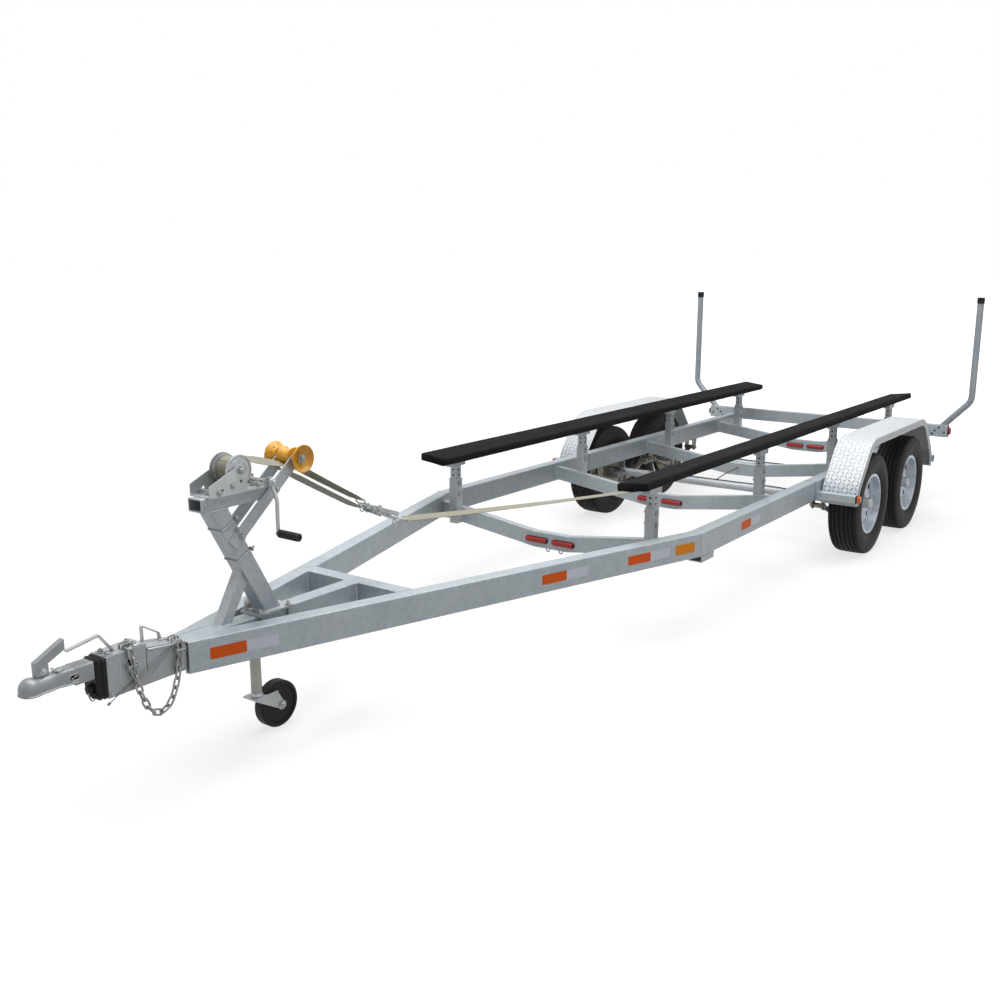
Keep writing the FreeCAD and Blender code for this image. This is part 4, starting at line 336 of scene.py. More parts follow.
def yellow_poly():
    """Moulded yellow plastic that lets a little light in."""
    finish = Finish("roller_yellow_poly")
    flow = finish.clouds(24, 4)
    dirt = finish.between(finish.clouds(60, 6, rough=0.7), 0.52, 0.75)
    base = finish.blend((0.78, 0.36, 0.022), (0.88, 0.46, 0.045), flow)
    base = finish.blend(base, (0.42, 0.22, 0.05), dirt * 0.35)
    return finish.close(base, 0.34 + dirt * 0.25, 0.0, finish.relief(flow, 0.0006, 0.4),
                        subsurface_weight=0.12, subsurface_radius=(0.02, 0.009, 0.002))


def webbing_cloth(name, pale, dark):
    """Woven strap: a herringbone of fine ribs with soiling."""
    finish = Finish(name)
    ribs = (finish.axis("Y") * 2600).sine()
    picks = (finish.axis("X") * 3100 + finish.axis("Z") * 3100).sine()
    weave = finish.between(ribs * picks, -1, 1)
    soil = finish.between(finish.clouds(22, 6, rough=0.65), 0.42, 0.75)
    base = finish.blend(dark, pale, weave * 0.5 + 0.5)
    base = finish.blend(base, (0.24, 0.21, 0.15), soil * 0.3)
    return finish.close(base, 0.78, 0.0, finish.relief(weave, 0.0005, 0.7), sheen_weight=0.2)


def lens(name, deep, bright):
    """Coloured plastic with crossed prisms behind a smooth face."""
    finish = Finish(name)
    ribs = finish.between((finish.axis("Y") * 1250).sine(), -1, 1)
    prisms = finish.between((finish.axis("Z") * 1250).sine(), -1, 1)
    glow = ribs * 0.5 + prisms * 0.5
    base = finish.blend(deep, bright, glow * 0.8 + finish.clouds(40, 3) * 0.2)
    return finish.close(base, 0.2 + glow * 0.06, 0.0, finish.relief(glow, 0.0006, 0.5), coat_weight=0.2,
                        specular_ior_level=0.25)


def reflective_tape(name, deep, bright):
    """Retroreflective tape: a fine honeycomb under a clear face."""
    finish = Finish(name)
    comb = finish.between(finish.rims(260), 0.0, 0.09)
    film = finish.clouds(18, 4)
    base = finish.blend(deep, bright, comb * 0.8 + film * 0.25)
    return finish.close(base, 0.45 + film * 0.14, 0.0, finish.relief(comb, 0.0002, 0.5), coat_weight=0.05,
                        specular_ior_level=0.2)


def weld_zinc():
    """Zinc over the ripples of a weld."""
    finish = Finish("weld_zinc")
    ripple = finish.clouds(160, 4)
    base = finish.blend((0.36, 0.38, 0.4), (0.62, 0.64, 0.66), ripple)
    return finish.close(base, 0.4 + ripple * 0.2, 0.6, finish.relief(ripple, 0.0012, 0.7))


def shadow_black():
    """The dark inside of a hole or a seam."""
    finish = Finish("inside_shadow")
    soot = finish.clouds(50, 4)
    return finish.close(finish.blend((0.004, 0.004, 0.005), (0.02, 0.02, 0.02), soot), 0.85 + soot * 0.1)


FRAME_ZINC = galvanised("frame_galvanised", (0.52, 0.575, 0.605), (0.34, 0.385, 0.42))
POST_ZINC = galvanised("post_galvanised", (0.6, 0.635, 0.66), (0.36, 0.39, 0.415), grain=70.0)
POLE_ZINC = galvanised("pole_galvanised", (0.37, 0.41, 0.44), (0.2, 0.23, 0.26), grain=80.0, dull=0.36)
STAND_ZINC = galvanised("stand_galvanised", (0.56, 0.6, 0.63), (0.33, 0.365, 0.395), grain=48.0)
CASE_ZINC = plated("case_zinc", (0.42, 0.44, 0.455), (0.31, 0.325, 0.335), metal=0.3, dull=0.36,
                   brushed=(3, 30, 30))
COUPLER_ZINC = plated("coupler_zinc", (0.35, 0.375, 0.39), (0.25, 0.27, 0.28), metal=0.3, dull=0.32,
                      brushed=(3, 30, 30))
BRIGHT_ZINC = plated("bright_zinc", (0.58, 0.6, 0.61), (0.34, 0.35, 0.36), metal=0.45)
BOLT_ZINC = plated("bolt_zinc", (0.44, 0.455, 0.46), (0.24, 0.25, 0.255), metal=0.45, dull=0.36)
CHAIN_STEEL = plated("chain_zinc", (0.4, 0.41, 0.415), (0.16, 0.165, 0.17), metal=0.5, dull=0.3)
JACK_ZINC = plated("jack_zinc", (0.42, 0.435, 0.385), (0.26, 0.27, 0.225), metal=0.4, brushed=(30, 30, 4))
GOLD_ZINC = plated("gold_zinc", (0.3, 0.275, 0.19), (0.15, 0.14, 0.1), metal=0.5, dull=0.45)
SPRING_STEEL = plated("spring_olive_zinc", (0.32, 0.31, 0.26), (0.16, 0.16, 0.14), metal=0.6, dull=0.45,
                      brushed=(3, 30, 30))
TREAD_PLATE = tread_aluminium("tread_plate_aluminium", (0.73, 0.745, 0.755), (0.61, 0.63, 0.65),
                              (0.56, 0.59, 0.62))
# the bars' darker tone is painted shade on the raised bars, and their foot colour a deeper painted reflection
TREAD_BAR_SHADED = tread_aluminium("tread_bar_shaded_aluminium", (0.64, 0.67, 0.7), (0.5, 0.535, 0.565), (0.15, 0.2, 0.25))
WHEEL_PAINT = wheel_enamel()
TYRE = tyre_rubber()
CARPET = bunk_carpet()
BLACK = moulded("black_rubber", (0.014, 0.014, 0.015), (0.005, 0.005, 0.006), specular_ior_level=0.2)
GRIP = moulded("grip_black", (0.018, 0.018, 0.019), (0.008, 0.008, 0.009), dull=0.45, specular_ior_level=0.3)
YELLOW = yellow_poly()
WEBBING = webbing_cloth("strap_beige_webbing", (0.37, 0.355, 0.28), (0.24, 0.23, 0.175))
RED = lens("lens_red", (0.26, 0.006, 0.006), (0.62, 0.03, 0.024))
AMBER = lens("lens_amber", (0.5, 0.085, 0.003), (0.8, 0.2, 0.012))
ORANGE_TAPE = reflective_tape("tape_orange", (0.72, 0.085, 0.002), (0.9, 0.13, 0.006))
AMBER_TAPE = reflective_tape("tape_amber", (0.8, 0.22, 0.005), (0.95, 0.32, 0.015))
WHITE_TAPE = reflective_tape("tape_white", (0.62, 0.67, 0.76), (0.78, 0.83, 0.91))
WELD = weld_zinc()
HOLE = shadow_black()
WIRE = moulded("wire_black", (0.02, 0.02, 0.02), (0.01, 0.01, 0.01), dull=0.45)
STEEL_ROPE = plated("cable_steel", (0.3, 0.3, 0.31), (0.12, 0.12, 0.125), metal=0.4, dull=0.4,
                    brushed=(260, 260, 260))


# Mesh building

def turns(count, offset=0.0):
    """Angles that share out a full turn."""
    return [math.tau * (step + offset) / count for step in range(count)]


def circle(middle, side, other, radius, steps):
    """Points round a middle, in the plane of two directions."""
    return [middle + (side * math.cos(turn) + other * math.sin(turn)) * radius for turn in turns(steps)]


def rounded_box(half_wide, half_high, corner, steps):
    """The outline of a rectangle with round corners, as pairs of across and up."""
    outline = []
    for quarter, (u, v) in enumerate(((1, 1), (-1, 1), (-1, -1), (1, -1))):
        for step in range(steps):
            turn = math.pi / 2 * (quarter + step / (steps - 1))
            outline.append((u * (half_wide - corner) + corner * math.cos(turn),
                            v * (half_high - corner) + corner * math.sin(turn)))
    return outline


class Shape:
    """Points and faces of one piece."""

    def __init__(self):
        self.points = []
        self.faces = []

    def add(self, points, faces):
        """Further points, and faces that count from the first of them."""
        base = len(self.points)
        self.points.extend(Vector(point) for point in points)
        self.faces.extend([base + index for index in face] for face in faces)

    def rings(self, rings, closed=False):
        """A skin over rings with the same number of points: a loop if closed, else with two end faces."""
        count = len(rings[0])
        total = len(rings)
        faces = []
        for row in range(total if closed else total - 1):
            here, after = row * count, (row + 1) % total * count
            for place in range(count):
                beside = (place + 1) % count
                faces.append((here + place, here + beside, after + beside, after + place))
        if not closed:
            faces.append(tuple(reversed(range(count))))
            faces.append(tuple((total - 1) * count + place for place in range(count)))
        self.add([point for ring in rings for point in ring], faces)

    def turned(self, profile, centre, axis, steps=32, closed=False):
        """A profile of (along, radius) turned about an axis."""
        axis = Vector(axis).normalized()
        side = axis.orthogonal().normalized()
        other = axis.cross(side)
        rings = []
        for along, radius in profile:
            rings.append(circle(Vector(centre) + axis * along, side, other, radius, steps))
        self.rings(rings, closed=closed)

    def lathe(self, profile, centre, axis, steps=32):
        """A turned solid: both ends of the profile are closed on the axis."""
        start, end = profile[0][0], profile[-1]
        closing = [] if end[1] == TIP else [(end[0], TIP)]
        self.turned([(start, TIP)] + profile + closing, centre, axis, steps)

    def bar(self, start, end, radius, centre, axis, steps=32):
        """A plain round bar or disc between two places along an axis."""
        self.lathe([(start, radius), (end, radius)], centre, axis, steps)

    def tube(self, path, radius, sides=10, closed=False, wobble=None):
        """A round wire along a path."""
        path = [Vector(point) for point in path]
        total = len(path)
        rings = []
        side = None
        for index, point in enumerate(path):
            before = path[index - 1] if index or closed else point
            after = path[(index + 1) % total] if index < total - 1 or closed else point
            along = (after - before).normalized()
            if side is None:
                side = along.orthogonal().normalized()
            side = (side - along * side.dot(along)).normalized()
            other = along.cross(side)
            thick = radius if wobble is None else radius * wobble(index)
            rings.append(circle(point, side, other, thick, sides))
        self.rings(rings, closed=closed)

    def slab(self, centre, lengths, turn=None, edge=0.0):
        """A block with its long edges eased."""
        half = [length / 2 for length in lengths]
        ease = min(edge, min(half) * 0.9)
        turn = turn or Matrix()
        corners = []
        for z, inset in ((-half[2], ease), (-half[2] + ease, 0), (half[2] - ease, 0), (half[2], ease)):
            x, y = half[0] - inset, half[1] - inset
            corners.append([(x, y - ease, z), (x - ease, y, z), (ease - x, y, z), (-x, y - ease, z),
                            (-x, ease - y, z), (ease - x, -y, z), (x - ease, -y, z), (x, ease - y, z)])
        self.rings([[Vector(centre) + turn.to_3x3() @ Vector(point) for point in ring] for ring in corners])

    def bolt(self, centre, axis, across, head, washer=0.0, stub=0.0):
        """A hexagon head or nut on a washer, with the thread's end standing out."""
        axis = Vector(axis).normalized()
        centre = Vector(centre)
        if washer:
            self.bar(0, washer, across * 0.95, centre, axis, 20)
        start = centre + axis * washer
        side = axis.orthogonal().normalized()
        other = axis.cross(side)
        corner = across / math.sqrt(3)
        self.rings([circle(start + axis * along, side, other, corner * share, 6)
                    for along, share in ((0, 1.0), (head * 0.82, 1.0), (head, 0.86))])
        if stub:
            radius = across * 0.3
            thread = [(head, radius), (head + stub * 0.85, radius), (head + stub, radius * 0.8)]
            self.lathe(thread, start, axis, 12)

    def hole(self, centre, axis, radius):
        """A dark disc where a hole is drilled in a thick wall."""
        self.bar(0, HOLE_DEEP, radius, centre, axis, 18)

    def weld(self, path, radius, seed, step=0.004):
        """A rippled bead along a path."""
        path = [Vector(point) for point in path]
        draw = random.Random(seed)
        points = []
        for start, end in zip(path, path[1:]):
            count = max(2, int((end - start).length / step))
            points.extend(start.lerp(end, place / count) for place in range(count))
        points.append(path[-1])
        swell = [0.8 + 0.3 * (place % 2) + draw.uniform(-0.1, 0.1) for place in range(len(points))]
        self.tube(points, radius, 8, wobble=lambda place: swell[place])

    def make(self, name, finish, body, slot, smooth=40.0):
        """The finished piece, riding on its body. Edges sharper than smooth, in degrees, stay crisp."""
        mesh = bpy.data.meshes.new(name)
        mesh.from_pydata([tuple(point) for point in self.points], [], self.faces)
        mesh.polygons.foreach_set("use_smooth", [True] * len(mesh.polygons))
        mesh.set_sharp_from_angle(angle=math.radians(smooth))
        mesh.materials.append(finish)
        mesh.update()
        piece = bpy.data.objects.new(name, mesh)
        bpy.context.collection.objects.link(piece)
        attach(piece, body)
        return piece


def rounded(corners, radius, steps):
    """The points of a path with its corners rounded."""
    corners = [Vector(corner) for corner in corners]
    path = [corners[0]]
    for before, corner, after in zip(corners, corners[1:], corners[2:]):
        back, ahead = before - corner, after - corner
        reach = min(radius, back.length * 0.48, ahead.length * 0.48)
        first = corner + back.normalized() * reach
        last = corner + ahead.normalized() * reach
        for step in range(steps + 1):
            share = step / steps
            path.append(first.lerp(corner, share).lerp(corner.lerp(last, share), share))
    return path + [corners[-1]]


def smooth_line(points, steps):
    """A smooth run through points."""
    points = [Vector(point) for point in points]
    padded = [points[0] * 2 - points[1]] + points + [points[-1] * 2 - points[-2]]
    line = []
    for index in range(1, len(padded) - 2):
        a, b, c, d = padded[index - 1:index + 3]
        for step in range(steps):
            t = step / steps
            line.append(0.5 * ((2 * b) + (c - a) * t + (2 * a - 5 * b + 4 * c - d) * t * t
                               + (3 * b - a - 3 * c + d) * t ** 3))
    line.append(points[-1])
    return line


def vee_y(x):
    """The outer face of the rail beside x, from the middle of the trailer."""
    if x <= BEND_X:
        return RAIL_OUT
    return RAIL_OUT + (x - BEND_X) * (NOSE_Y - RAIL_OUT) / (NOSE_X - BEND_X)


VEE = (Vector((NOSE_X, NOSE_Y, 0)) - Vector((BEND_X, RAIL_OUT, 0))).normalized()
VEE_OUT = Vector((-VEE.y, VEE.x, 0))
RAIL_WIDE = RAIL_OUT - RAIL_IN


def mirrored(point, sign):
    """A point of the left side, or its mirror image on the right where the sign is -1."""
    return Vector((point[0], point[1] * sign, point[2]))


def tilted(angle):
    """A turn about the axis across the trailer."""
    return Matrix.Rotation(angle, 4, "Y")


# Camera and light

def camera():
    """The photograph's point of view."""
    data = bpy.data.cameras.new("photo_view")
    data.sensor_width = 36.0
    data.lens = 38.82
    eye = bpy.data.objects.new("photo_view", data)
    bpy.context.collection.objects.link(eye)
    eye.location = (5.532, 3.251, 1.965)
    heading, pitch = 3.772, -0.2212
    look = Vector((math.cos(pitch) * math.cos(heading), math.cos(pitch) * math.sin(heading), math.sin(pitch)))
    eye.rotation_euler = look.to_track_quat("-Z", "Y").to_euler()
    bpy.context.scene.camera = eye


def soft_box(name, place, aim, width, power):
    """A square lamp that faces a place."""
    data = bpy.data.lights.new(name, "AREA")
    data.shape = "SQUARE"
    data.size = width
    data.energy = power
    lamp = bpy.data.objects.new(name, data)
    bpy.context.collection.objects.link(lamp)
    lamp.location = place
    lamp.rotation_euler = (Vector(aim) - Vector(place)).to_track_quat("-Z", "Y").to_euler()


def studio():
    """Broad light from above, two fills, and air that looks white but lights the trailer faintly."""
    soft_box("top_light", (0.6, 0.4, 7.5), (-0.3, 0, 0), 7.5, 760)
    soft_box("side_light", (3.5, 8.0, 3.4), (0, 0, 0.5), 4.5, 60)
    soft_box("nose_light", (8.0, -5.5, 3.2), (1.5, 0, 0.6), 4.0, 45)
    world = bpy.data.worlds.new("studio_air")
    bpy.context.scene.world = world
    world.use_nodes = True
    tree = world.node_tree
    tree.nodes.clear()
    rays = tree.nodes.new("ShaderNodeLightPath")
    seen = rays.outputs["Is Camera Ray"]
    for kind in ("Is Glossy Ray", "Is Transmission Ray"):
        either = tree.nodes.new("ShaderNodeMath")
        either.operation = "MAXIMUM"
        tree.links.new(seen, either.inputs[0])
        tree.links.new(rays.outputs[kind], either.inputs[1])
        seen = either.outputs[0]
    shade = tree.nodes.new("ShaderNodeMix")
    shade.data_type = "FLOAT"
    tree.links.new(seen, shade.inputs[0])
    shade.inputs[2].default_value = AIR_FILL
    shade.inputs[3].default_value = 1.0
    air = tree.nodes.new("ShaderNodeBackground")
    air.inputs["Color"].default_value = (1, 1, 1, 1)
    tree.links.new(shade.outputs[0], air.inputs["Strength"])
    out = tree.nodes.new("ShaderNodeOutputWorld")
    tree.links.new(air.outputs[0], out.inputs[0])
    bpy.context.scene.view_settings.view_transform = "Standard"


def floor():
    """A white floor that keeps a faint shadow under the trailer and is plain white further out."""
    far = 90.0
    mesh = bpy.data.meshes.new("studio_floor")
    mesh.from_pydata([(-far, -far, -0.0006), (far, -far, -0.0006), (far, far, -0.0006), (-far, far, -0.0006)],
                     [], [(0, 1, 2, 3)])
    ground = bpy.data.objects.new("studio_floor", mesh)
    bpy.context.collection.objects.link(ground)
    finish = Finish("studio_floor")
    rays = finish.tree.nodes.new("ShaderNodeLightPath")
    seen = Wave(finish, rays.outputs["Is Camera Ray"]).higher(Wave(finish, rays.outputs["Is Glossy Ray"]))
    seen = seen.higher(Wave(finish, rays.outputs["Is Transmission Ray"]))
    reach = finish.node("ShaderNodeVectorMath", {"operation": "LENGTH"}, {0: finish.place}, "Value")
    white = finish.between(reach, 3.5, 9.0)
    plain = finish.node("ShaderNodeBsdfDiffuse", {}, {"Color": (FLOOR_GREY, FLOOR_GREY, FLOOR_GREY)})
    lift = finish.node("ShaderNodeEmission", {}, {"Strength": seen * (white * 0.5 + FLOOR_LIFT)})
    both = finish.node("ShaderNodeAddShader", {}, {0: plain, 1: lift})
    finish.node("ShaderNodeOutputMaterial", {}, {"Surface": both})
    mesh.materials.append(finish.material)


# Finishes of the carried-over solids

NODE_FINISHES = {
    "post": POST_ZINC, "bunk_posts": POST_ZINC, "guide_pole_left": POLE_ZINC, "guide_pole_right": POLE_ZINC,
    "guide_pole_caps": BLACK, "axle": POST_ZINC, "brake": GOLD_ZINC, "wheel": WHEEL_PAINT,
    "leaf": SPRING_STEEL, "spring": SPRING_STEEL, "equalisers": SPRING_STEEL,
    "fender_left": TREAD_PLATE, "fender_right": TREAD_PLATE, "actuator": CASE_ZINC, "wear": BLACK,
    "coupler": COUPLER_ZINC, "breakaway": BRIGHT_ZINC, "safety": BRIGHT_ZINC, "jack_tube": JACK_ZINC,
    "jack_leg": JACK_ZINC, "caster_fork": BRIGHT_ZINC, "caster_wheel": BLACK,
    "winch_mast": STAND_ZINC, "winch_head": STAND_ZINC, "winch_brace": STAND_ZINC, "winch_frame": BRIGHT_ZINC,
    "winch_drum": BRIGHT_ZINC, "winch_crank": BRIGHT_ZINC, "crank_grip": GRIP, "bow_stop": STAND_ZINC,
}


def dress_solids():
    """Give each carried-over solid the finish of its node. The last start of a name that fits counts."""
    for name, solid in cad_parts.items():
        finish = FRAME_ZINC
        for start, chosen in NODE_FINISHES.items():
            if name.startswith(start):
                finish = chosen
        solid.data.materials.clear()
        solid.data.materials.append(finish)


# Reflective tape, seams and welds

def tape_strip(shape, start_x, end_x, sign, high=0.0235, middle=0.4965):
    """A thin strip on the rail's outer face between two places along the trailer."""
    raked = start_x > BEND_X
    out = VEE_OUT if raked else ACROSS
    ends = [Vector((x, vee_y(x), middle)) + out * 0.0002 for x in (start_x, end_x)]
    along = (ends[1] - ends[0]).normalized()
    corner = 0.003
    outline = []
    length = (ends[1] - ends[0]).length
    for u, v in ((corner, -high), (length - corner, -high), (length, corner - high), (length, high - corner),
                 (length - corner, high), (corner, high), (0, high - corner), (0, corner - high)):
        outline.append(ends[0] + along * u + UP * v)
    rings = [[mirrored(point + out * lift, sign) for point in outline] for lift in (0.0, 0.0005)]
    shape.rings(rings)


def tapes():
    """Orange and white strips in four places along each rail, and amber ones beside the bend."""
    orange, white, amber = Shape(), Shape(), Shape()
    for _, sign in SIDES:
        for first, middle, last in ((2.554, 2.413, 2.285), (1.018, 0.877, 0.746), (0.500, 0.354, 0.223),
                                    (-0.50, -0.63, -0.756)):
            tape_strip(orange, BEND_X + middle, BEND_X + first, sign)
            tape_strip(white, BEND_X + last, BEND_X + middle, sign)
        tape_strip(amber, BEND_X + 0.053, BEND_X + 0.185, sign, 0.027)
    orange.make("tape_orange", ORANGE_TAPE, "frame", "red_lens")
    white.make("tape_white", WHITE_TAPE, "frame", "galvanised_steel")
    amber.make("tape_amber", AMBER_TAPE, "frame", "amber_lens")


def frame_welds():
    """Beads where the tubes meet, and the seam between the two lengths of each rail."""
    face = RAIL_OUT + 0.0005
    cross_half = 0.0255
    beam_side, beam_foot, brace_x = 0.0385, 0.459, BEND_X + 1.704
    arm_half, arm_x, arm_z = 0.025, 0.897, 0.487
    pole_x, pole_y, pole_z = REAR_X - 0.025, 1.018, 0.6225
    runs = [([(BEND_X, RAIL_IN, RAIL_TOP), (BEND_X, face, RAIL_TOP), (BEND_X, face, RAIL_FOOT)], 0.0022, 3)]
    for place in CROSS_XS:
        for x in (place - cross_half, place + cross_half):
            y = min(RAIL_IN, vee_y(x) - RAIL_WIDE)
            runs.append(([(x, y, 0.53), (x, y, 0.446)], 0.004, 5))
    for x in (brace_x - 0.077, brace_x - 0.001):
        y = vee_y(x) - RAIL_WIDE / VEE.x
        runs.append(([(x, y, RAIL_TOP - 0.001), (x, y, beam_foot)], 0.004, 7))
    runs.append(([(brace_x, beam_side, RAIL_TOP - 0.001), (brace_x, beam_side, beam_foot)], 0.005, 8))
    nose = NOSE_X + 0.001
    runs.append(([(nose, beam_side, RAIL_TOP + 0.002), (nose, beam_side, RAIL_FOOT + 0.002)], 0.004, 9))
    for x in (BOGIE_X - arm_x, BOGIE_X + arm_x):
        runs.append(([(x - arm_half, face, arm_z), (x + arm_half, face, arm_z)], 0.003, 11))
    runs.append(([(REAR_X, face, RAIL_TOP), (REAR_X, face, 0.53)], 0.004, 13))
    end, over = REAR_X + 0.0005, RAIL_TOP + 0.0005
    runs.append(([(end, RAIL_IN + 0.001, over), (end, RAIL_OUT - 0.001, over)], 0.004, 15))
    around = turns(28) + [math.tau]
    runs.append(([(pole_x + 0.0255 * math.cos(turn), pole_y + 0.034 * math.sin(turn), pole_z)
                  for turn in around], 0.003, 17))
    beads, seams = Shape(), Shape()
    proud = 0.0002
    near, far, high, low = RAIL_IN - proud, RAIL_OUT + proud, RAIL_TOP + proud, RAIL_FOOT - proud
    loop = ((far, low), (far, high), (near, high), (near, low))
    for _, sign in SIDES:
        for points, radius, seed in runs:
            beads.weld([mirrored(point, sign) for point in points], radius, seed=seed)
        seams.tube([mirrored((SPLICE_X, y, z), sign) for y, z in loop], 0.0012, 6, closed=True)
    beads.make("frame_welds", WELD, "frame", "galvanised_steel", 80)
    seams.make("splice_seams", HOLE, "frame", "galvanised_steel")


# Running gear

def tyre_profile():
    """A tyre's section as pairs of across and radius, from one bead over the crown to the other."""
    half, deep, crown_drop = 0.1025, 0.0075, 0.0034
    points = [(0.0787, 0.1903), (0.0787, 0.2005), (0.0845, 0.2055), (0.0905, 0.2125), (0.0965, 0.2300),
              (0.1003, 0.2480), (0.1013, 0.2520), (0.1025, 0.2560), (0.1025, 0.2680), (0.1018, 0.2850),
              (0.1004, 0.2990), (0.0996, 0.3010), (0.0998, 0.3040), (0.0990, 0.3070), (0.0975, 0.3160),
              (0.0955, 0.3245), (0.0930, 0.3315), (0.0895, 0.3362), (0.0845, 0.3394), (0.0790, 0.3414)]
    for outer, inner in ((0.0722, 0.0652), (0.0470, 0.0400), (0.0185, 0.0115)):
        for y, drop in ((outer + 0.0006, 0.0), (outer - 0.0008, deep),
                        (inner + 0.0008, deep), (inner - 0.0006, 0.0)):
            points.append((y, WHEEL_Z - crown_drop * (y / half) ** 2 - drop))
    return points + [(-y, radius) for y, radius in reversed(points)]


def tread_notch(across, radius):
    """How deep the notches cut at a place on the tyre's section."""
    if across > 0.0725 and radius > 0.325:
        return 0.0052
    if 0.0395 < across < 0.0725 and radius > 0.3425:
        return 0.0016
    return 0.0


def tyres():
    """Ribbed trailer tyres: six grooves, notched ribs and shoulders, bead ring and sidewall band."""
    profile = tyre_profile()
    pitches = 54
    cuts = ((0.0, 0), (0.56, 0), (0.60, 1), (0.80, 1), (0.84, 0))
    lean_share = 0.16
    for name, x, sign in WHEELS:
        rings = []
        for pitch in range(pitches):
            for share, cut in cuts:
                ring = []
                for y, radius in profile:
                    skew = math.copysign(lean_share, y) * min(1, max(0, (radius - 0.32) / 0.02))
                    turn = math.tau * (pitch + share + skew) / pitches
                    band = abs(y) > 0.0985 and 0.3 < radius < 0.306
                    inwards = math.copysign(0.0009, y) * cut if band else 0.0
                    reach = radius - cut * tread_notch(abs(y), radius)
                    ring.append((x + reach * math.sin(turn), sign * WHEEL_Y + y - inwards,
                                 WHEEL_Z + reach * math.cos(turn)))
                rings.append(ring)
        shape = Shape()
        shape.rings(rings, closed=True)
        piece = shape.make("tyre_%s_tread" % name, TYRE, "wheel_" + name, "tyre_rubber", 30)
        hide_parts("tyre_" + name)


def wheel_fittings():
    """Lug nuts on their seats, hub caps and valve stems."""
    face, nut_circle = WHEEL_Y + 0.003, 0.0635
    for name, x, sign in WHEELS:
        body = "wheel_" + name
        out = (0, sign, 0)
        nuts, cap, stem = Shape(), Shape(), Shape()
        for turn in turns(6, 0.5):
            centre = Vector((x + nut_circle * math.cos(turn), sign * face,
                             WHEEL_Z + nut_circle * math.sin(turn)))
            nuts.lathe([(0, 0.0135), (0.004, 0.0125)], centre, out, 16)
            nuts.bolt(centre + ACROSS * sign * 0.003, out, 0.021, 0.02)
        cap.turned([(0.0, 0.0362), (0.012, 0.0365), (0.015, 0.0355), (0.068, 0.0352), (0.0795, 0.0325),
                    (0.0845, 0.026), (0.0862, 0.015), (0.0866, TIP)], (x, sign * face, WHEEL_Z), out, 40)
        foot = Vector((x + 0.150, sign * (WHEEL_Y + 0.045), WHEEL_Z + 0.072))
        stem.lathe([(0, 0.0085), (0.008, 0.0055), (0.022, 0.0045), (0.0225, 0.0052), (0.034, 0.0052),
                    (0.0345, TIP)], foot, (-0.35, sign, -0.16), 14)
        nuts.make("lug_nuts_" + name, BRIGHT_ZINC, body, "zinc_hardware")
        cap.make("hub_cap_" + name, BRIGHT_ZINC, body, "zinc_hardware")
        stem.make("valve_" + name, BLACK, body, "black_plastic")


def spring_fittings():
    """U-bolts over the axles with their tie plates, and the bolts of hangers and equalisers."""
    bolts = Shape()
    down = (0, 0, -1)
    u_reach, u_half, nut_z, eye_x = 0.038, 0.0285, 0.2605, 0.355
    for _, sign in SIDES:
        y = sign * SPRING_Y
        for x in AXLE_XS:
            for way in (-1, 1):
                for side in (-1, 1):
                    place = Vector((x + way * u_reach, y + side * u_half, 0))
                    path = [place + UP * 0.262, place + UP * 0.352, place + UP * 0.376,
                            Vector((place.x, y, 0.3795))]
                    bolts.tube(rounded(path, 0.016, 4), 0.0055, 8)
                    bolts.bolt(place + UP * nut_z, down, 0.018, 0.01, 0.002, 0.006)
            bolts.slab((x, y, 0.2665), (0.115, 0.076, 0.009), edge=0.003)
            bolts.lathe([(0, 0.009), (0.007, 0.007), (0.008, TIP)], (x, y, 0.2625), down, 12)
        for x in (AXLE_XS[0] + eye_x, BOGIE_X, AXLE_XS[1] - eye_x):
            z = 0.388 if x == BOGIE_X else 0.366
            for way in (-1, 1):
                stub = 0.007 if way == sign else 0.0
                bolts.bolt((x, y + way * 0.0372, z), (0, way, 0), 0.024, 0.012, 0.003, stub)
        for x in (AXLE_XS[0] - eye_x, AXLE_XS[1] + eye_x):
            for way in (-1, 1):
                bolts.bolt((x, y + way * 0.0305, 0.366), (0, way, 0), 0.022, 0.01, 0.002)
    bolts.make("spring_bolts", SPRING_STEEL, "frame", "spring_steel")


def brake_lines():
    """Steel lines clipped along both axles, a hose to each wheel and one between the axles."""
    lines, clips = Shape(), Shape()
    line_z = 0.3775
    for x in AXLE_XS:
        run = [(x + 0.012, -0.80, 0.352), (x + 0.013, -0.45, line_z), (x + 0.012, 0, line_z),
               (x + 0.013, 0.45, line_z), (x + 0.012, 0.80, 0.352)]
        lines.tube(smooth_line(run, 10), 0.0032, 8)
        for y in (-0.62, -0.31, -0.02, 0.29, 0.6):
            clips.turned([(-0.006, 0.0298), (-0.006, 0.0312), (0.006, 0.0312), (0.006, 0.0298)],
                         (x, y, WHEEL_Z), ACROSS, 28, closed=True)
        for sign in (-1, 1):
            hose = [(x + 0.03, sign * 0.79, 0.356), (x + 0.05, sign * 0.845, 0.372),
                    (x + 0.052, sign * 0.885, 0.375), (x + 0.045, sign * 0.9105, 0.372)]
            lines.tube(smooth_line(hose, 8), 0.0048, 8)
    front, rear = AXLE_XS
    trunk = [(rear + 0.03, -0.02, 0.3785), (rear + 0.2, -0.022, 0.392), (-2.085, -0.03, 0.4085),
             (-2.02, -0.03, 0.4085), (front - 0.1, -0.03, 0.395), (front + 0.02, -0.03, 0.3785)]
    lines.tube(smooth_line(trunk, 10), 0.0038, 8)
    lines.make("brake_lines", WIRE, "frame", "black_plastic")
    clips.make("line_clips", BRIGHT_ZINC, "frame", "zinc_hardware")


# Fenders

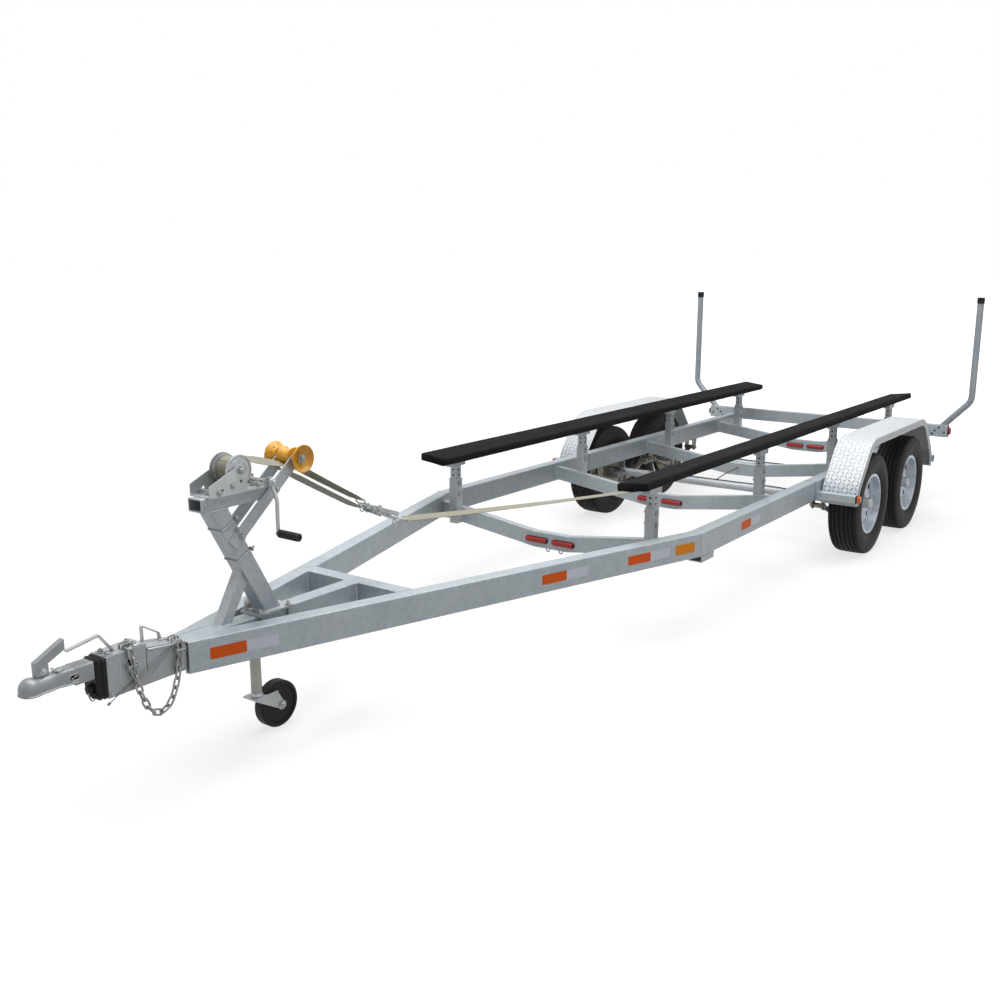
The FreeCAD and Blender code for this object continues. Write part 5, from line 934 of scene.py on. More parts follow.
def arced(corners, radius, steps=12):
    """A path in the plane of x and z with its corners rounded to true arcs."""
    corners = [Vector((x, 0, z)) for x, z in corners]
    path = [corners[0]]
    for before, corner, after in zip(corners, corners[1:], corners[2:]):
        back = (before - corner).normalized()
        ahead = (after - corner).normalized()
        half = (math.pi - back.angle(ahead)) / 2
        middle = corner + (back + ahead).normalized() * radius / math.cos(half)
        first = corner + back * radius * math.tan(half) - middle
        last = corner + ahead * radius * math.tan(half) - middle
        for step in range(steps + 1):
            path.append(middle + first.slerp(last, step / steps).normalized() * radius)
    return path + [corners[-1]]


def fender_line(inset=0.0, step=0.02):
    """Points with their outward directions along the outside of the fender, front foot to rear foot."""
    corners = [(0.872, 0.410), (0.872, 0.505), (0.618, 0.808),
               (-0.618, 0.808), (-0.872, 0.505), (-0.872, 0.410)]
    path = arced(corners, FENDER_BEND)
    lengths = [0.0]
    for a, b in zip(path, path[1:]):
        lengths.append(lengths[-1] + (b - a).length)
    count = int(lengths[-1] / step)
    line = []
    for number in range(count + 1):
        want = lengths[-1] * number / count
        index = 0
        while lengths[index + 1] < want - 1e-9 and index < len(path) - 2:
            index += 1
        a, b = path[index], path[index + 1]
        share = (want - lengths[index]) / max(1e-9, (b - a).length)
        along = (b - a).normalized()
        outward = ACROSS.cross(along).normalized()
        if outward.dot(a.lerp(b, share) - Vector((0, 0, 0.4))) < 0:
            outward = -outward
        line.append((a.lerp(b, share) - outward * inset, along, outward))
    return line


def lozenge(shape, centre, along, across, outward, turn, long_half, wide_half, high):
    """One raised bar of the tread plate, with a ridged back."""
    u = along * math.cos(turn) + across * math.sin(turn)
    v = outward.cross(u)
    tip, shoulder, ridge = u * long_half, u * (long_half * 0.4), u * (long_half * 0.5)
    side, peak = v * wide_half, outward * high
    shape.add([centre - tip, centre - shoulder + side, centre + shoulder + side, centre + tip,
               centre + shoulder - side, centre - shoulder - side,
               centre - ridge + peak, centre + ridge + peak],
              [(0, 6, 1), (1, 6, 7, 2), (2, 7, 3), (3, 7, 4), (4, 7, 6, 5), (5, 6, 0), (0, 1, 2, 3, 4, 5)])


def tread_bars(base, sign):
    """Rows of bars over the fender's top and along its outer lip, turned left and right by turns."""
    bars = Shape()
    pitch, slant = 0.027, math.radians(42)
    columns, inner_y, top_wide, lip_y = 8, 0.903, 0.228, 1.1311
    side = ACROSS * sign
    for row, (point, along, outward) in enumerate(fender_line(step=pitch)[1:-1]):
        for column in range(columns):
            y = inner_y + top_wide * (column + 0.5) / columns
            turn = slant if (row + column) % 2 else -slant
            lozenge(bars, base + point + side * y + outward * 0.0001, along, side, outward, turn,
                    0.0155, 0.0040, 0.0020)
    for row, (point, along, outward) in enumerate(fender_line(inset=0.024, step=pitch)[1:-1]):
        turn = slant if row % 2 else -slant
        lozenge(bars, base + point + side * lip_y, along, outward, side, turn, 0.0145, 0.0040, 0.0018)
    return bars


def fender_tread():
    """Tread bars, rolled edges and the bolts that hold each fender to its arms."""
    base = Vector((BOGIE_X, 0, 0))
    for name, sign in SIDES:
        tread_bars(base, sign).make("tread_bars_" + name, TREAD_BAR_SHADED, "frame", "tread_plate", 25)
        edge, bolts = Shape(), Shape()
        for inset, y, radius in ((0.0445, 1.1295, 0.0028), (0.0015, 0.9045, 0.0026)):
            line = [base + point + ACROSS * sign * y for point, _, _ in fender_line(inset=inset, step=0.012)]
            edge.tube(line, radius, 8)
        edge.make("fender_edge_" + name, TREAD_PLATE, "frame", "tread_plate")
        for end in (-1, 1):
            for y in (0.945, 1.085):
                bolts.lathe([(0, 0.011), (0.003, 0.0095), (0.0055, 0.005), (0.006, TIP)],
                            (BOGIE_X + end * 0.8685, sign * y, 0.462), (-end, 0, 0), 16)
            bolts.lathe([(0, 0.009), (0.003, 0.0075), (0.0045, TIP)],
                        (BOGIE_X + end * 0.848, sign * 1.131, 0.438), (0, sign, 0), 14)
        bolts.make("fender_bolts_" + name, BRIGHT_ZINC, "frame", "zinc_hardware")


# Lamps

def oblong(shape, centre, across, up, out, wide, high, layers, corner_share=1.0):
    """A plate with round corners in layers of depth and inset. A share of 1 gives half-round ends."""
    rings = []
    centre = Vector(centre)
    for depth, inset in layers:
        half_wide, half_high = wide / 2 - inset, high / 2 - inset
        corner = min(half_high * corner_share, half_wide)
        rings.append([centre + across * x + up * y + out * depth
                      for x, y in rounded_box(half_wide, half_high, corner, 8)])
    shape.rings(rings)


def crossmember_lamps(glass, shells):
    """Two ribbed oblong lamps on the front face of three crossmembers."""
    for place in LAMP_XS:
        for way in (-1, 1):
            x, y, z = place + 0.0252, way * 0.089, 0.396
            oblong(shells, (x, y, z), ACROSS, UP, ALONG, 0.150, 0.034,
                   [(0, 0), (0.009, 0.0), (0.011, 0.0015)])
            oblong(glass, (x, y, z), ACROSS, UP, ALONG, 0.142, 0.028,
                   [(0.008, 0), (0.016, 0.0), (0.0195, 0.003), (0.0215, 0.008)])
            for rib in range(9):
                glass.slab((x + 0.0195, y + (rib - 4) * 0.0135, z), (0.005, 0.0022, 0.021), edge=0.0008)


def tail_lamps(glass, shells):
    """Broad lamps on the rear face of the crossbar, and a small one on each of its ends."""
    x, z, end_y = REAR_X - 0.05, 0.572, 1.0552
    back = -ALONG
    for _, sign in SIDES:
        y = sign * 0.9125
        oblong(shells, (x, y, z), ACROSS, UP, back, 0.165, 0.070, [(0, 0), (0.010, 0), (0.0115, 0.0015)], 0.5)
        oblong(glass, (x - 0.009, y, z), ACROSS, UP, back, 0.155, 0.060,
               [(0, 0), (0.009, 0.0), (0.0125, 0.0025), (0.0145, 0.008)], 0.44)
        for rib in range(6):
            glass.slab((x - 0.0225, y + (rib - 2.5) * 0.022, z), (0.0025, 0.003, 0.046), edge=0.0008)
        for rib in range(2):
            glass.slab((x - 0.0225, y, z - 0.012 + rib * 0.024), (0.0025, 0.13, 0.003), edge=0.0008)
        end, out = (REAR_X - 0.025, sign * end_y, z), ACROSS * sign
        oblong(shells, end, ALONG, UP, out, 0.048, 0.062, [(0, 0), (0.007, 0), (0.008, 0.001)], 0.6)
        oblong(glass, end, ALONG, UP, out, 0.042, 0.055,
               [(0.006, 0), (0.016, 0.001), (0.020, 0.004), (0.0215, 0.009)], 0.6)


def tie_loops():
    """Two small wire loops under the front crossmember."""
    loops = Shape()
    x, under = CROSS_XS[0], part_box("crossmember_1")[0].z
    for y in (-0.028, 0.058):
        hook = [(x, y + across, under + up) for across, up in
                ((-0.010, 0.001), (-0.011, -0.014), (0, -0.024), (0.011, -0.014), (0.010, 0.001))]
        loops.tube(smooth_line(hook, 6), 0.0034, 8)
    loops.make("tie_loops", BOLT_ZINC, "frame", "zinc_hardware")


def side_lamps():
    """Square amber lamps on the outer ends of the front fender arms."""
    glass, shells = Shape(), Shape()
    for _, sign in SIDES:
        x, y, z = BOGIE_X + 0.897, sign * 1.1372, 0.462
        out = ACROSS * sign
        oblong(shells, (x, y, z), ALONG, UP, out, 0.048, 0.048, [(0, 0), (0.007, 0), (0.0085, 0.0015)], 0.24)
        oblong(glass, (x, y, z), ALONG, UP, out, 0.042, 0.042,
               [(0.006, 0), (0.0225, 0.0005), (0.026, 0.003), (0.0275, 0.007)], 0.24)
        for rib in range(4):
            glass.slab((x, y + sign * 0.0262, z + (rib - 1.5) * 0.0085), (0.026, 0.002, 0.0016), edge=0.0005)
    lenses = glass.make("amber_lenses", AMBER, "frame", "amber_lens")
    shells.make("side_lamp_shells", BLACK, "frame", "black_plastic")
    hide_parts("side_lamps")


def lamps():
    """All the lamps, and the tie loops under the front ones."""
    glass, shells, tail_shells = Shape(), Shape(), Shape()
    crossmember_lamps(glass, shells)
    tail_lamps(glass, tail_shells)
    lenses = glass.make("red_lenses", RED, "frame", "red_lens")
    tie_loops()
    shells.make("lamp_shells", BLACK, "frame", "black_plastic")
    tail_shells.make("tail_lamp_shells", BLACK, "frame", "black_plastic")
    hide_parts("crossmember_lamps", "rear_lamps")
    side_lamps()


def wiring():
    """The lamps' harness, clipped along the rear face of their crossmembers."""
    wires, clips = Shape(), Shape()
    half_run = [(0.80, 0.480), (0.5, 0.419), (0.2, 0.3775), (0.11, 0.3665)]
    middle_z, rise, rise_y = 0.3655, 0.1355, 0.11
    for place in LAMP_XS:
        x = place - 0.0285
        run = [(x, -y, z) for y, z in half_run] + [(x, 0, middle_z)]
        run += [(x, y, z) for y, z in reversed(half_run)]
        wires.tube(smooth_line(run, 8), 0.0032, 7)
        for y in (-0.45, -0.3, -0.03, 0.03, 0.3, 0.45):
            z = middle_z if abs(y) < rise_y else middle_z + 0.001 + (abs(y) - rise_y) * rise
            clips.slab((x - 0.001, y, z), (0.010, 0.012, 0.012), edge=0.002)
    wires.make("lamp_wires", WIRE, "frame", "black_plastic")
    clips.make("wire_clips", BLACK, "frame", "black_plastic")


# Bunks and posts

def bunk_section(wide, thick):
    """A board's outline with extra points across its two broad faces."""
    corner, corner_steps, face_steps = 0.0115, 5, 8
    half = wide / 2 - corner
    section = []
    for place, point in enumerate(rounded_box(wide / 2, thick / 2, corner, corner_steps)):
        section.append(point)
        if place in (corner_steps - 1, 3 * corner_steps - 1):
            target = -half if place < corner_steps else half
            section += [(point[0] + (target - point[0]) * step / face_steps, point[1])
                        for step in range(1, face_steps)]
    return section


def bunks():
    """Carpet-wrapped boards: rounded edges, a soft uneven pile and tucked ends."""
    wide, thick, long = 0.176, 0.045, 4.572
    front_x, rows = BEND_X + 0.340, 260
    section = bunk_section(wide, thick)
    tucked = [(0.0, 0.0060), (0.0025, 0.0026), (0.0065, 0.0006)]
    stations = [(-long / 2 + inwards, pull) for inwards, pull in tucked]
    stations += [(-long / 2 + long * row / rows, 0.0) for row in range(1, rows)]
    stations += [(long / 2 - inwards, pull) for inwards, pull in reversed(tucked)]
    for side, sign in SIDES:
        middle = Vector((front_x - long / 2, sign * (POST_Y + thick / 2 * math.sin(BUNK_TILT)),
                         BUNK_TOP - thick / 2 * math.cos(BUNK_TILT)))
        turn = Matrix.Rotation(sign * BUNK_TILT, 3, "X")
        rings = []
        for x, pull in stations:
            ring = []
            for y, z in section:
                out = Vector((0, y, z * 2)).normalized()
                seed = Vector((x * 9, y * 26 + sign * 4, z * 26))
                swell = noise.noise(seed) * 0.0011 + noise.noise(seed * 4.3) * 0.0006
                ring.append(middle + turn @ (Vector((x, y, z)) + out * (swell - pull - 0.0004)))
            rings.append(ring)
        board = Shape()
        board.rings(rings)
        piece = board.make("bunk_%s_carpet" % side, CARPET, "frame", "carpeted_wood", 60)
        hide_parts("bunk_" + side)


def post_fittings():
    """Bolts through the sleeves and saddles of the bunk posts, and the posts' setting holes."""
    bolts, holes = Shape(), Shape()
    post_half, sleeve_half, hole_radius = 0.0220, 0.0272, 0.0062
    for _, sign in SIDES:
        y = sign * (POST_Y + 0.045 * math.sin(BUNK_TILT))
        for number, place in enumerate(CROSS_XS):
            forward = 1 if number == 0 else -1
            x = place + forward * 0.052
            for z in (0.475, 0.515):
                bolts.bolt((x + forward * sleeve_half, y, z), (forward, 0, 0), *M12_BOLT, 0.006)
            for z in (0.600, 0.662):
                bolts.bolt((x, y + sign * sleeve_half, z), (0, sign, 0), *M12_BOLT)
                bolts.bolt((x, y - sign * sleeve_half, z), (0, -sign, 0), *M12_BOLT, 0.006)
            for z in (0.712, 0.744):
                for way in (-1, 1):
                    holes.hole((x, y + way * post_half, z), (0, way, 0), hole_radius)
                    holes.hole((x + way * post_half, y, z), (way, 0, 0), hole_radius)
            for way in (-1, 1):
                bolts.bolt((x + way * 0.048, y, 0.7985), (0, 0, -1), 0.016, 0.008, 0.002)
    bolts.make("post_bolts", BOLT_ZINC, "frame", "zinc_hardware")
    holes.make("post_holes", HOLE, "frame", "galvanised_steel")


def rear_fittings():
    """Bolts and drilled holes of the rear crossbar and its end plates."""
    bolts, holes = Shape(), Shape()
    rear_face, hole_radius = REAR_X - 0.05, 0.0085
    for _, sign in SIDES:
        for y in (0.76, 0.80):
            for z in (0.548, 0.596):
                bolts.bolt((rear_face, sign * y, z), (-1, 0, 0), *M12_BOLT)
        for y in (0.72, 0.62, 0.15):
            holes.hole((rear_face, sign * y, 0.572), (-1, 0, 0), hole_radius)
        for y, z in ((0.935, 0.545), (0.955, 0.572), (0.985, 0.598), (1.03, 0.56)):
            holes.hole((REAR_X, sign * y, z), (1, 0, 0), hole_radius)
    bolts.make("rear_bar_bolts", BOLT_ZINC, "frame", "zinc_hardware")
    holes.make("rear_bar_holes", HOLE, "frame", "galvanised_steel")


# Tongue

def evenly(path, pitch):
    """Points a pitch apart along a path."""
    points = [path[0].copy()]
    index = 0
    here = path[0].copy()
    while True:
        while index < len(path) - 1 and (path[index + 1] - points[-1]).length < pitch:
            index += 1
            here = path[index]
        if index >= len(path) - 1:
            return points
        low, high = 0.0, 1.0
        for _ in range(30):
            middle = (low + high) / 2
            if (here.lerp(path[index + 1], middle) - points[-1]).length < pitch:
                low = middle
            else:
                high = middle
        here = here.lerp(path[index + 1], high)
        points.append(here.copy())


def hanging_line(front, rear, y, z, spare, steps=240):
    """Points of a chain that hangs between two places and is longer than their distance by a factor."""
    span = front - rear
    low, high = 1e-4, 5.0
    for _ in range(80):
        sag = (low + high) / 2
        if 2 * sag * math.sinh(span / (2 * sag)) > span * spare:
            low = sag
        else:
            high = sag
    half_arc = sag * math.sinh(span / (2 * sag))
    line = []
    for step in range(steps + 1):
        along = sag * math.asinh(half_arc * (2 * step / steps - 1) / sag)
        drop = sag * (math.cosh(along / sag) - math.cosh(span / (2 * sag)))
        line.append(Vector((front - (along + span / 2), y, z + drop)))
    return line


def chain_links():
    """Welded chain: over the edge of the case at both ends, with a loop that hangs between."""
    pitch, wire, inner = 0.0352, 0.0042, 0.0125
    front, rear = CASE_X + CASE_LONG * 0.72, CASE_X + CASE_LONG * 0.1
    y = CASE_SIDE + inner / 2 + 2 * wire + 0.0003
    z, over, spare = RAIL_TOP - 0.012, 0.009, 2.45
    over_front, over_rear = [rounded([(x, 0.020, case_top(x) + over), (x, y, case_top(x) + over), (x, y, z)],
                                     0.022, 8) for x in (front, rear)]
    path = over_front + hanging_line(front, rear, y, z, spare) + over_rear[::-1]
    links, staples = Shape(), Shape()
    half, wide = pitch / 2 + wire * 0.92, inner / 2 + wire
    places = evenly(path, pitch)
    for index, (a, b) in enumerate(zip(places, places[1:])):
        along = (b - a).normalized()
        side = ALONG if abs(along.y) > 0.6 else ACROSS
        side = (side - along * side.dot(along)).normalized()
        if index % 2:
            side = along.cross(side).normalized()
        ring = []
        for step, turn in enumerate(turns(24)):
            shift = math.copysign(half - wide, math.cos(turn)) if step % 12 != 6 else 0
            ring.append((a + b) / 2 + along * (math.cos(turn) * wide + shift) + side * math.sin(turn) * wide)
        links.tube(ring, wire, 9, closed=True)
    piece = links.make("chain_links", CHAIN_STEEL, "frame", "zinc_hardware", 60)
    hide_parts("safety_chain")
    reach, rise = 0.015, 0.018
    for x in (front, rear):
        top = case_top(x)
        for y in (0.010, 0.030):
            staples.tube(rounded([(x - reach, y, top), (x - reach, y, top + rise), (x + reach, y, top + rise),
                                  (x + reach, y, top)], 0.008, 4), 0.0035, 8)
    staples.make("chain_staples", CHAIN_STEEL, "frame", "zinc_hardware")


def case_top(x):
    """The height of the case's roof, which steps up at its seam and falls again towards the nose."""
    if x < CASE_SEAM:
        return RAIL_TOP + 0.0043 + (x - CASE_X) * 0.027 / (CASE_SEAM - CASE_X)
    return RAIL_TOP + 0.0463 - (x - CASE_SEAM) * 0.006 / (CASE_X + CASE_LONG - CASE_SEAM)


def case_fittings():
    """Bolts, slots, seams and the hoop of the surge case."""
    bolts, holes, rods = Shape(), Shape(), Shape()
    for _, sign in SIDES:
        side, out = sign * CASE_SIDE, (0, sign, 0)
        for x, z, across in ((3.464, 0.577, 0.012), (3.160, 0.470, 0.012), (3.462, 0.462, 0.010)):
            bolts.bolt((x, side, z), out, across, 0.004, 0.001)
        for x in (3.370, 3.384):
            oblong(holes, (x, side, 0.562), ALONG, UP, ACROSS * sign, 0.0125, 0.0095, [(0, 0), (0.0006, 0)])
        holes.slab((3.311, side + sign * 0.0002, 0.545), (0.0025, 0.0006, 0.088), edge=0.0002)
        weld = [(3.424, side, 0.598), (3.421, side, 0.56), (3.424, side, 0.50), (3.412, side, 0.478)]
        rods.weld(smooth_line(weld, 8), 0.0022, seed=31)
        rods.slab((3.245, side + sign * 0.0025, 0.575), (0.120, 0.005, 0.006), tilted(-0.12), 0.0015)
    for x, y in ((3.343, -0.022), (3.343, 0.018), (3.452, -0.020), (3.452, 0.022)):
        bolts.bolt((x, y, case_top(x)), UP, 0.019, 0.008, 0.0025, 0.005)
    strap_x = 3.335
    rods.slab((strap_x, 0.0, case_top(strap_x) + 0.0022), (0.034, 0.078, 0.004), tilted(0.03), 0.001)
    for x in (3.180, 3.205):
        rods.lathe([(0, 0.009), (0.005, 0.009), (0.0055, TIP)], (x, -0.012, case_top(x)), UP, 16)
    hoop_y, front, rear = -0.030, 3.272, 3.196
    hoop = rounded([(front, hoop_y, case_top(front)), (front, hoop_y, 0.646), (rear + 0.004, hoop_y, 0.600),
                    (rear, hoop_y, case_top(rear))], 0.007, 4)
    ribbon(rods, hoop, 0.016, [ACROSS] * len(hoop), 0.006)
    return bolts, holes, rods


def breakaway_cable():
    """Two strands along the near side of the case, and the ferrule at their front end."""
    cable = Shape()
    upper = [(3.146, 0.0460, 0.5600), (3.16, 0.0500, 0.5630), (3.21, 0.0535, 0.5560), (3.30, 0.0545, 0.517),
             (3.42, 0.0515, 0.462), (3.478, 0.0500, 0.432)]
    lower = [(3.152, 0.0460, 0.5540), (3.166, 0.0500, 0.5560), (3.23, 0.0545, 0.5420), (3.31, 0.0565, 0.486),
             (3.40, 0.0560, 0.466), (3.440, 0.0500, 0.452)]
    for run in (upper, lower):
        cable.tube(smooth_line(run, 10), 0.0019, 7)
    cable.tube([(3.474, 0.0500, 0.435), (3.484, 0.0498, 0.4285)], 0.0048, 10)
    return cable


def tongue_fittings():
    """What sits on the surge case, and the breakaway cable beside it."""
    bolts, holes, rods = case_fittings()
    bolts.make("case_bolts", BOLT_ZINC, "frame", "zinc_hardware")
    holes.make("case_holes", HOLE, "frame", "zinc_hardware")
    rods.make("case_hoop", BRIGHT_ZINC, "frame", "zinc_hardware")
    breakaway_cable().make("breakaway_cable", STEEL_ROPE, "frame", "zinc_hardware")


def pressed_ring(x, wide, top, shoulder, boxy, inner_wide, inner_top, low, flare):
    """One cross-section of the pressed coupler: an upturned channel with a flared lip."""
    outer, inner = [], []
    steps = 14
    for step in range(steps + 1):
        turn = math.pi * step / steps
        y = math.copysign(abs(math.cos(turn)) ** (2 / boxy), math.cos(turn))
        z = abs(math.sin(turn)) ** (2 / boxy)
        outer.append((y * wide, shoulder + (top - shoulder) * z))
        inner.append((y * inner_wide, shoulder + (max(inner_top, shoulder + 1e-4) - shoulder) * z))
    lip = [(wide, low + 0.006), (wide + flare, low + 0.003), (wide + flare, low)]
    under = [(inner_wide, low)]
    ring = [(y, z) for y, z in reversed(lip)] + outer
    ring += [(-y, z) for y, z in lip]
    ring += [(-y, z) for y, z in under] + [(y, z) for y, z in reversed(inner)] + under
    return [Vector((x, y, z)) for y, z in ring]


def coupler_skin():
    """The coupler's pressing: a boxed channel that necks in and swells round the ball."""
    outer_radius, ball_radius, low = 0.0385, 0.0295, 0.5425
    start, pitch, neck_end = 3.578, 0.0059, 3.72
    wide_start, neck_in, top_start, top_in = 0.0322, 0.0062, 0.5958, 0.0022
    stations = [start + pitch * step for step in range(25)]
    stations += [BALL.x + outer_radius * math.sin(math.radians(degrees)) for degrees in range(0, 91, 6)]
    rings = []
    for x in stations:
        into = min(1.0, max(0.0, (x - 3.612) / 0.075))
        into = into * into * (3 - 2 * into)
        waist = math.sin(math.pi * into) ** 2
        off = x - BALL.x
        over_ball = math.sqrt(max(0.0, outer_radius ** 2 - off * off))
        neck = wide_start - neck_in * waist * (x < neck_end)
        top = top_start - top_in * waist
        wide = neck if x < BALL.x else 0.0
        if off > -outer_radius:
            wide = max(wide, over_ball)
            top = max(top if x < BALL.x else 0.0, BALL.z + over_ball)
        boxy = 2.0 + 5.0 * (1 - into) ** 1.5
        room = math.sqrt(max(1e-8, ball_radius ** 2 - off * off))
        hollow = max(room, wide - 0.006 if x < BALL.x - 0.012 else 0.0, 1e-4)
        hollow = min(hollow, max(wide - 0.001, 1e-5))
        rings.append(pressed_ring(x, max(wide, 2e-5), top, BALL.z, boxy, hollow,
                                  min(top - 0.002, BALL.z + hollow), low, 0.0055 if wide > 0.004 else 0.0))
    return rings


def coupler_slide():
    """The square tube with round edges that slides into the case."""
    rings = []
    for x, inset in ((3.4445, 0.0012), (3.4455, 0.0), (3.5845, 0.0), (3.586, 0.0012)):
        outline = rounded_box(0.0320 - inset, 0.0330 - inset, 0.0065, 6)
        rings.append([Vector((x, y, 0.563 + z)) for y, z in outline])
    return rings


def coupler_fittings():
    """Pressed ball coupler on its slide, with the slot, pins and safety clip."""
    skin, pins, dark = Shape(), Shape(), Shape()
    skin.rings(coupler_skin())
    skin.rings(coupler_slide())
    piece = skin.make("coupler_pressing", COUPLER_ZINC, "frame", "zinc_hardware", 50)
    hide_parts("coupler")
    slot_x, slot_z, slot_half, slot_radius = 3.590, 0.564, 0.0085, 0.0118
    for _, sign in SIDES:
        oblong(dark, (slot_x, sign * 0.0325, slot_z), ALONG, UP, ACROSS * sign, 0.040, 0.023,
               [(0, 0), (0.0007, 0)])
        for y, radius in ((0.0326, slot_radius), (0.0332, slot_radius - 0.0009)):
            rim = [(slot_x + math.copysign(slot_half, math.cos(turn)) + radius * math.cos(turn), sign * y,
                    slot_z + radius * math.sin(turn)) for turn in turns(40)]
            pins.tube(rim, 0.0013, 6, closed=True)
        pins.slab((3.584, sign * 0.0335, 0.567), (0.015, 0.0015, 0.0045), tilted(0.2), 0.0005)
        pins.slab((3.598, sign * 0.0335, 0.561), (0.009, 0.0015, 0.0045), tilted(-0.3), 0.0005)
        pins.bolt((3.690, sign * 0.0132, 0.612), (0, sign, 0), 0.013, 0.006, 0.0015, 0.003)
    clip = [(3.652, 0.016, 0.601), (3.640, 0.022, 0.603), (3.622, 0.020, 0.604), (3.612, 0.010, 0.604),
            (3.622, 0.002, 0.604), (3.642, 0.004, 0.604), (3.655, 0.010, 0.603), (3.668, 0.008, 0.602)]
    pins.tube(smooth_line(clip, 6), 0.0016, 7)
    pins.bar(-0.022, 0.022, 0.0045, (3.640, 0, 0.5985), ACROSS, 16)
    pins.make("coupler_pins", BRIGHT_ZINC, "frame", "zinc_hardware")
    dark.make("coupler_window", HOLE, "frame", "zinc_hardware")


def boot():
    """Rubber bellows at the front of the case, with the damper's bung under the slide."""
    rubber, damper = Shape(), Shape()
    half_wide, half_high, corner, middle_z = CASE_SIDE, 0.0758, 0.0200, 0.524
    folds = ((3.4745, 0.0), (3.478, 0.0022), (3.483, 0.003), (3.488, 0.0), (3.492, -0.004), (3.496, -0.001),
             (3.501, 0.001), (3.506, -0.002), (3.510, -0.0065), (3.514, -0.0125))
    rings = []
    for x, swell in folds:
        outline = rounded_box(half_wide + swell, half_high + swell, corner + swell, 8)
        rings.append([Vector((x, y, middle_z + z)) for y, z in outline])
    for x in (3.514, 3.4755):
        rings.append([Vector((x, y, 0.563 + z)) for y, z in rounded_box(0.0334, 0.0338, 0.006, 8)])
    rubber.rings(rings, closed=True)
    rubber.lathe([(0, 0.016), (0.004, 0.019), (0.008, 0.016), (0.012, 0.019), (0.016, 0.0155), (0.020, 0.012),
                  (0.0205, TIP)], (3.5135, 0.006, 0.492), ALONG, 28)
    rubber.lathe([(0, 0.011), (0.006, 0.0125), (0.012, 0.009), (0.0125, TIP)], (3.5138, 0.024, 0.470),
                 (1, 0.3, 0), 20)
    piece = rubber.make("boot_bellows", BLACK, "frame", "black_plastic", 50)
    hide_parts("wear_block")
    damper.tube(circle(Vector((3.516, 0.006, 0.462)), ACROSS, UP, 0.017, 32), 0.0028, 8, closed=True)
    damper.make("damper_ring", BRIGHT_ZINC, "frame", "zinc_hardware")


def jack_fittings():
    """Clamp bands on the jack's tube, the weld at its foot, and the caster's bolts and dished faces."""
    band, leg, fork, dish = Shape(), Shape(), Shape(), Shape()
    for z, high in ((0.404, 0.012), (0.542, 0.010)):
        band.turned([(0, 0.0280), (0, 0.0305), (high, 0.0305), (high, 0.0280)], (JACK_X, JACK_Y, z), UP, 32,
                    closed=True)
    band.make("jack_bands", JACK_ZINC, "frame", "zinc_hardware")
    leg.turned([(0, 0.0229), (0, 0.0275), (0.006, 0.0268), (0.012, 0.0232)], (JACK_X, JACK_Y, 0.1724), UP, 32,
               closed=True)
    leg.make("jack_leg_weld", WELD, "jack_leg", "zinc_hardware")
    for way in (-1, 1):
        fork.bolt(CASTER + ACROSS * way * 0.0372, (0, way, 0), 0.021, 0.01, 0.0025, 0.005)
    fork.lathe([(0, 0.019), (0.003, 0.019), (0.008, 0.012)], (JACK_X, JACK_Y, 0.164), -UP, 24)
    fork.make("caster_bolts", BRIGHT_ZINC, "caster_fork", "zinc_hardware")
    for way in (-1, 1):
        dish.turned([(0.010, 0.045), (0.0115, 0.078), (0.0145, 0.0795), (0.0150, 0.076), (0.0125, 0.045)],
                    CASTER, (0, way, 0), 48, closed=True)
    dish.make("caster_dish", BLACK, "caster_wheel", "black_plastic")


# Winch and stand

def wound_strap():
    """The strap's turns on the drum, a little out of round."""
    section = ((-0.025, 0.0435), (-0.0255, 0.0475), (-0.0235, 0.0486), (-0.012, 0.0489), (0.0, 0.0488),
               (0.012, 0.0489), (0.0235, 0.0486), (0.0255, 0.0475), (0.025, 0.0435))
    rings = []
    for turn in turns(72):
        ring = []
        for y, radius in section:
            reach = radius + 0.0002 * math.sin(3 * turn + y * 80)
            ring.append((DRUM.x + reach * math.sin(turn), y, DRUM.z + reach * math.cos(turn)))
        rings.append(ring)
    wound = Shape()
    wound.rings(rings, closed=True)
    wound.make("wound_webbing", WEBBING, "winch_drum", "beige_webbing", 50)


def drum_faces():
    """Ribs beside the far flange, and the rings and rivets pressed in both flanges."""
    ribs, pressed = Shape(), Shape()
    first_rib, rib_pitch, rib_foot, rib_top = -0.0465, 0.0042, 0.0438, 0.0575
    for rib in range(5):
        y = first_rib + rib * rib_pitch
        ribs.turned([(y, rib_foot), (y + 0.0006, rib_top), (y + 0.0022, rib_top), (y + 0.0028, rib_foot)],
                    DRUM, ACROSS, 56, closed=True)
    ribs.make("drum_ribs", BRIGHT_ZINC, "winch_drum", "zinc_hardware")
    flange, rivet_circle = 0.0485, 0.031
    for way in (-1, 1):
        out = (0, way, 0)
        for radius, wide, high in ((0.0590, 0.0028, 0.0034), (0.0400, 0.0060, 0.0022),
                                   (0.0205, 0.0035, 0.0030)):
            back = wide * 0.7
            pressed.turned([(flange - 0.0005, radius - wide), (flange + high, radius - back),
                            (flange + high, radius + back), (flange - 0.0005, radius + wide)], DRUM, out, 56,
                           closed=True)
        for turn in turns(4, 0.3):
            centre = (DRUM.x + rivet_circle * math.cos(turn), 0, DRUM.z + rivet_circle * math.sin(turn))
            pressed.lathe([(flange, 0.0085), (flange + 0.001, 0.008)], centre, out, 18)
    pressed.make("drum_pressings", BRIGHT_ZINC, "winch_drum", "zinc_hardware")


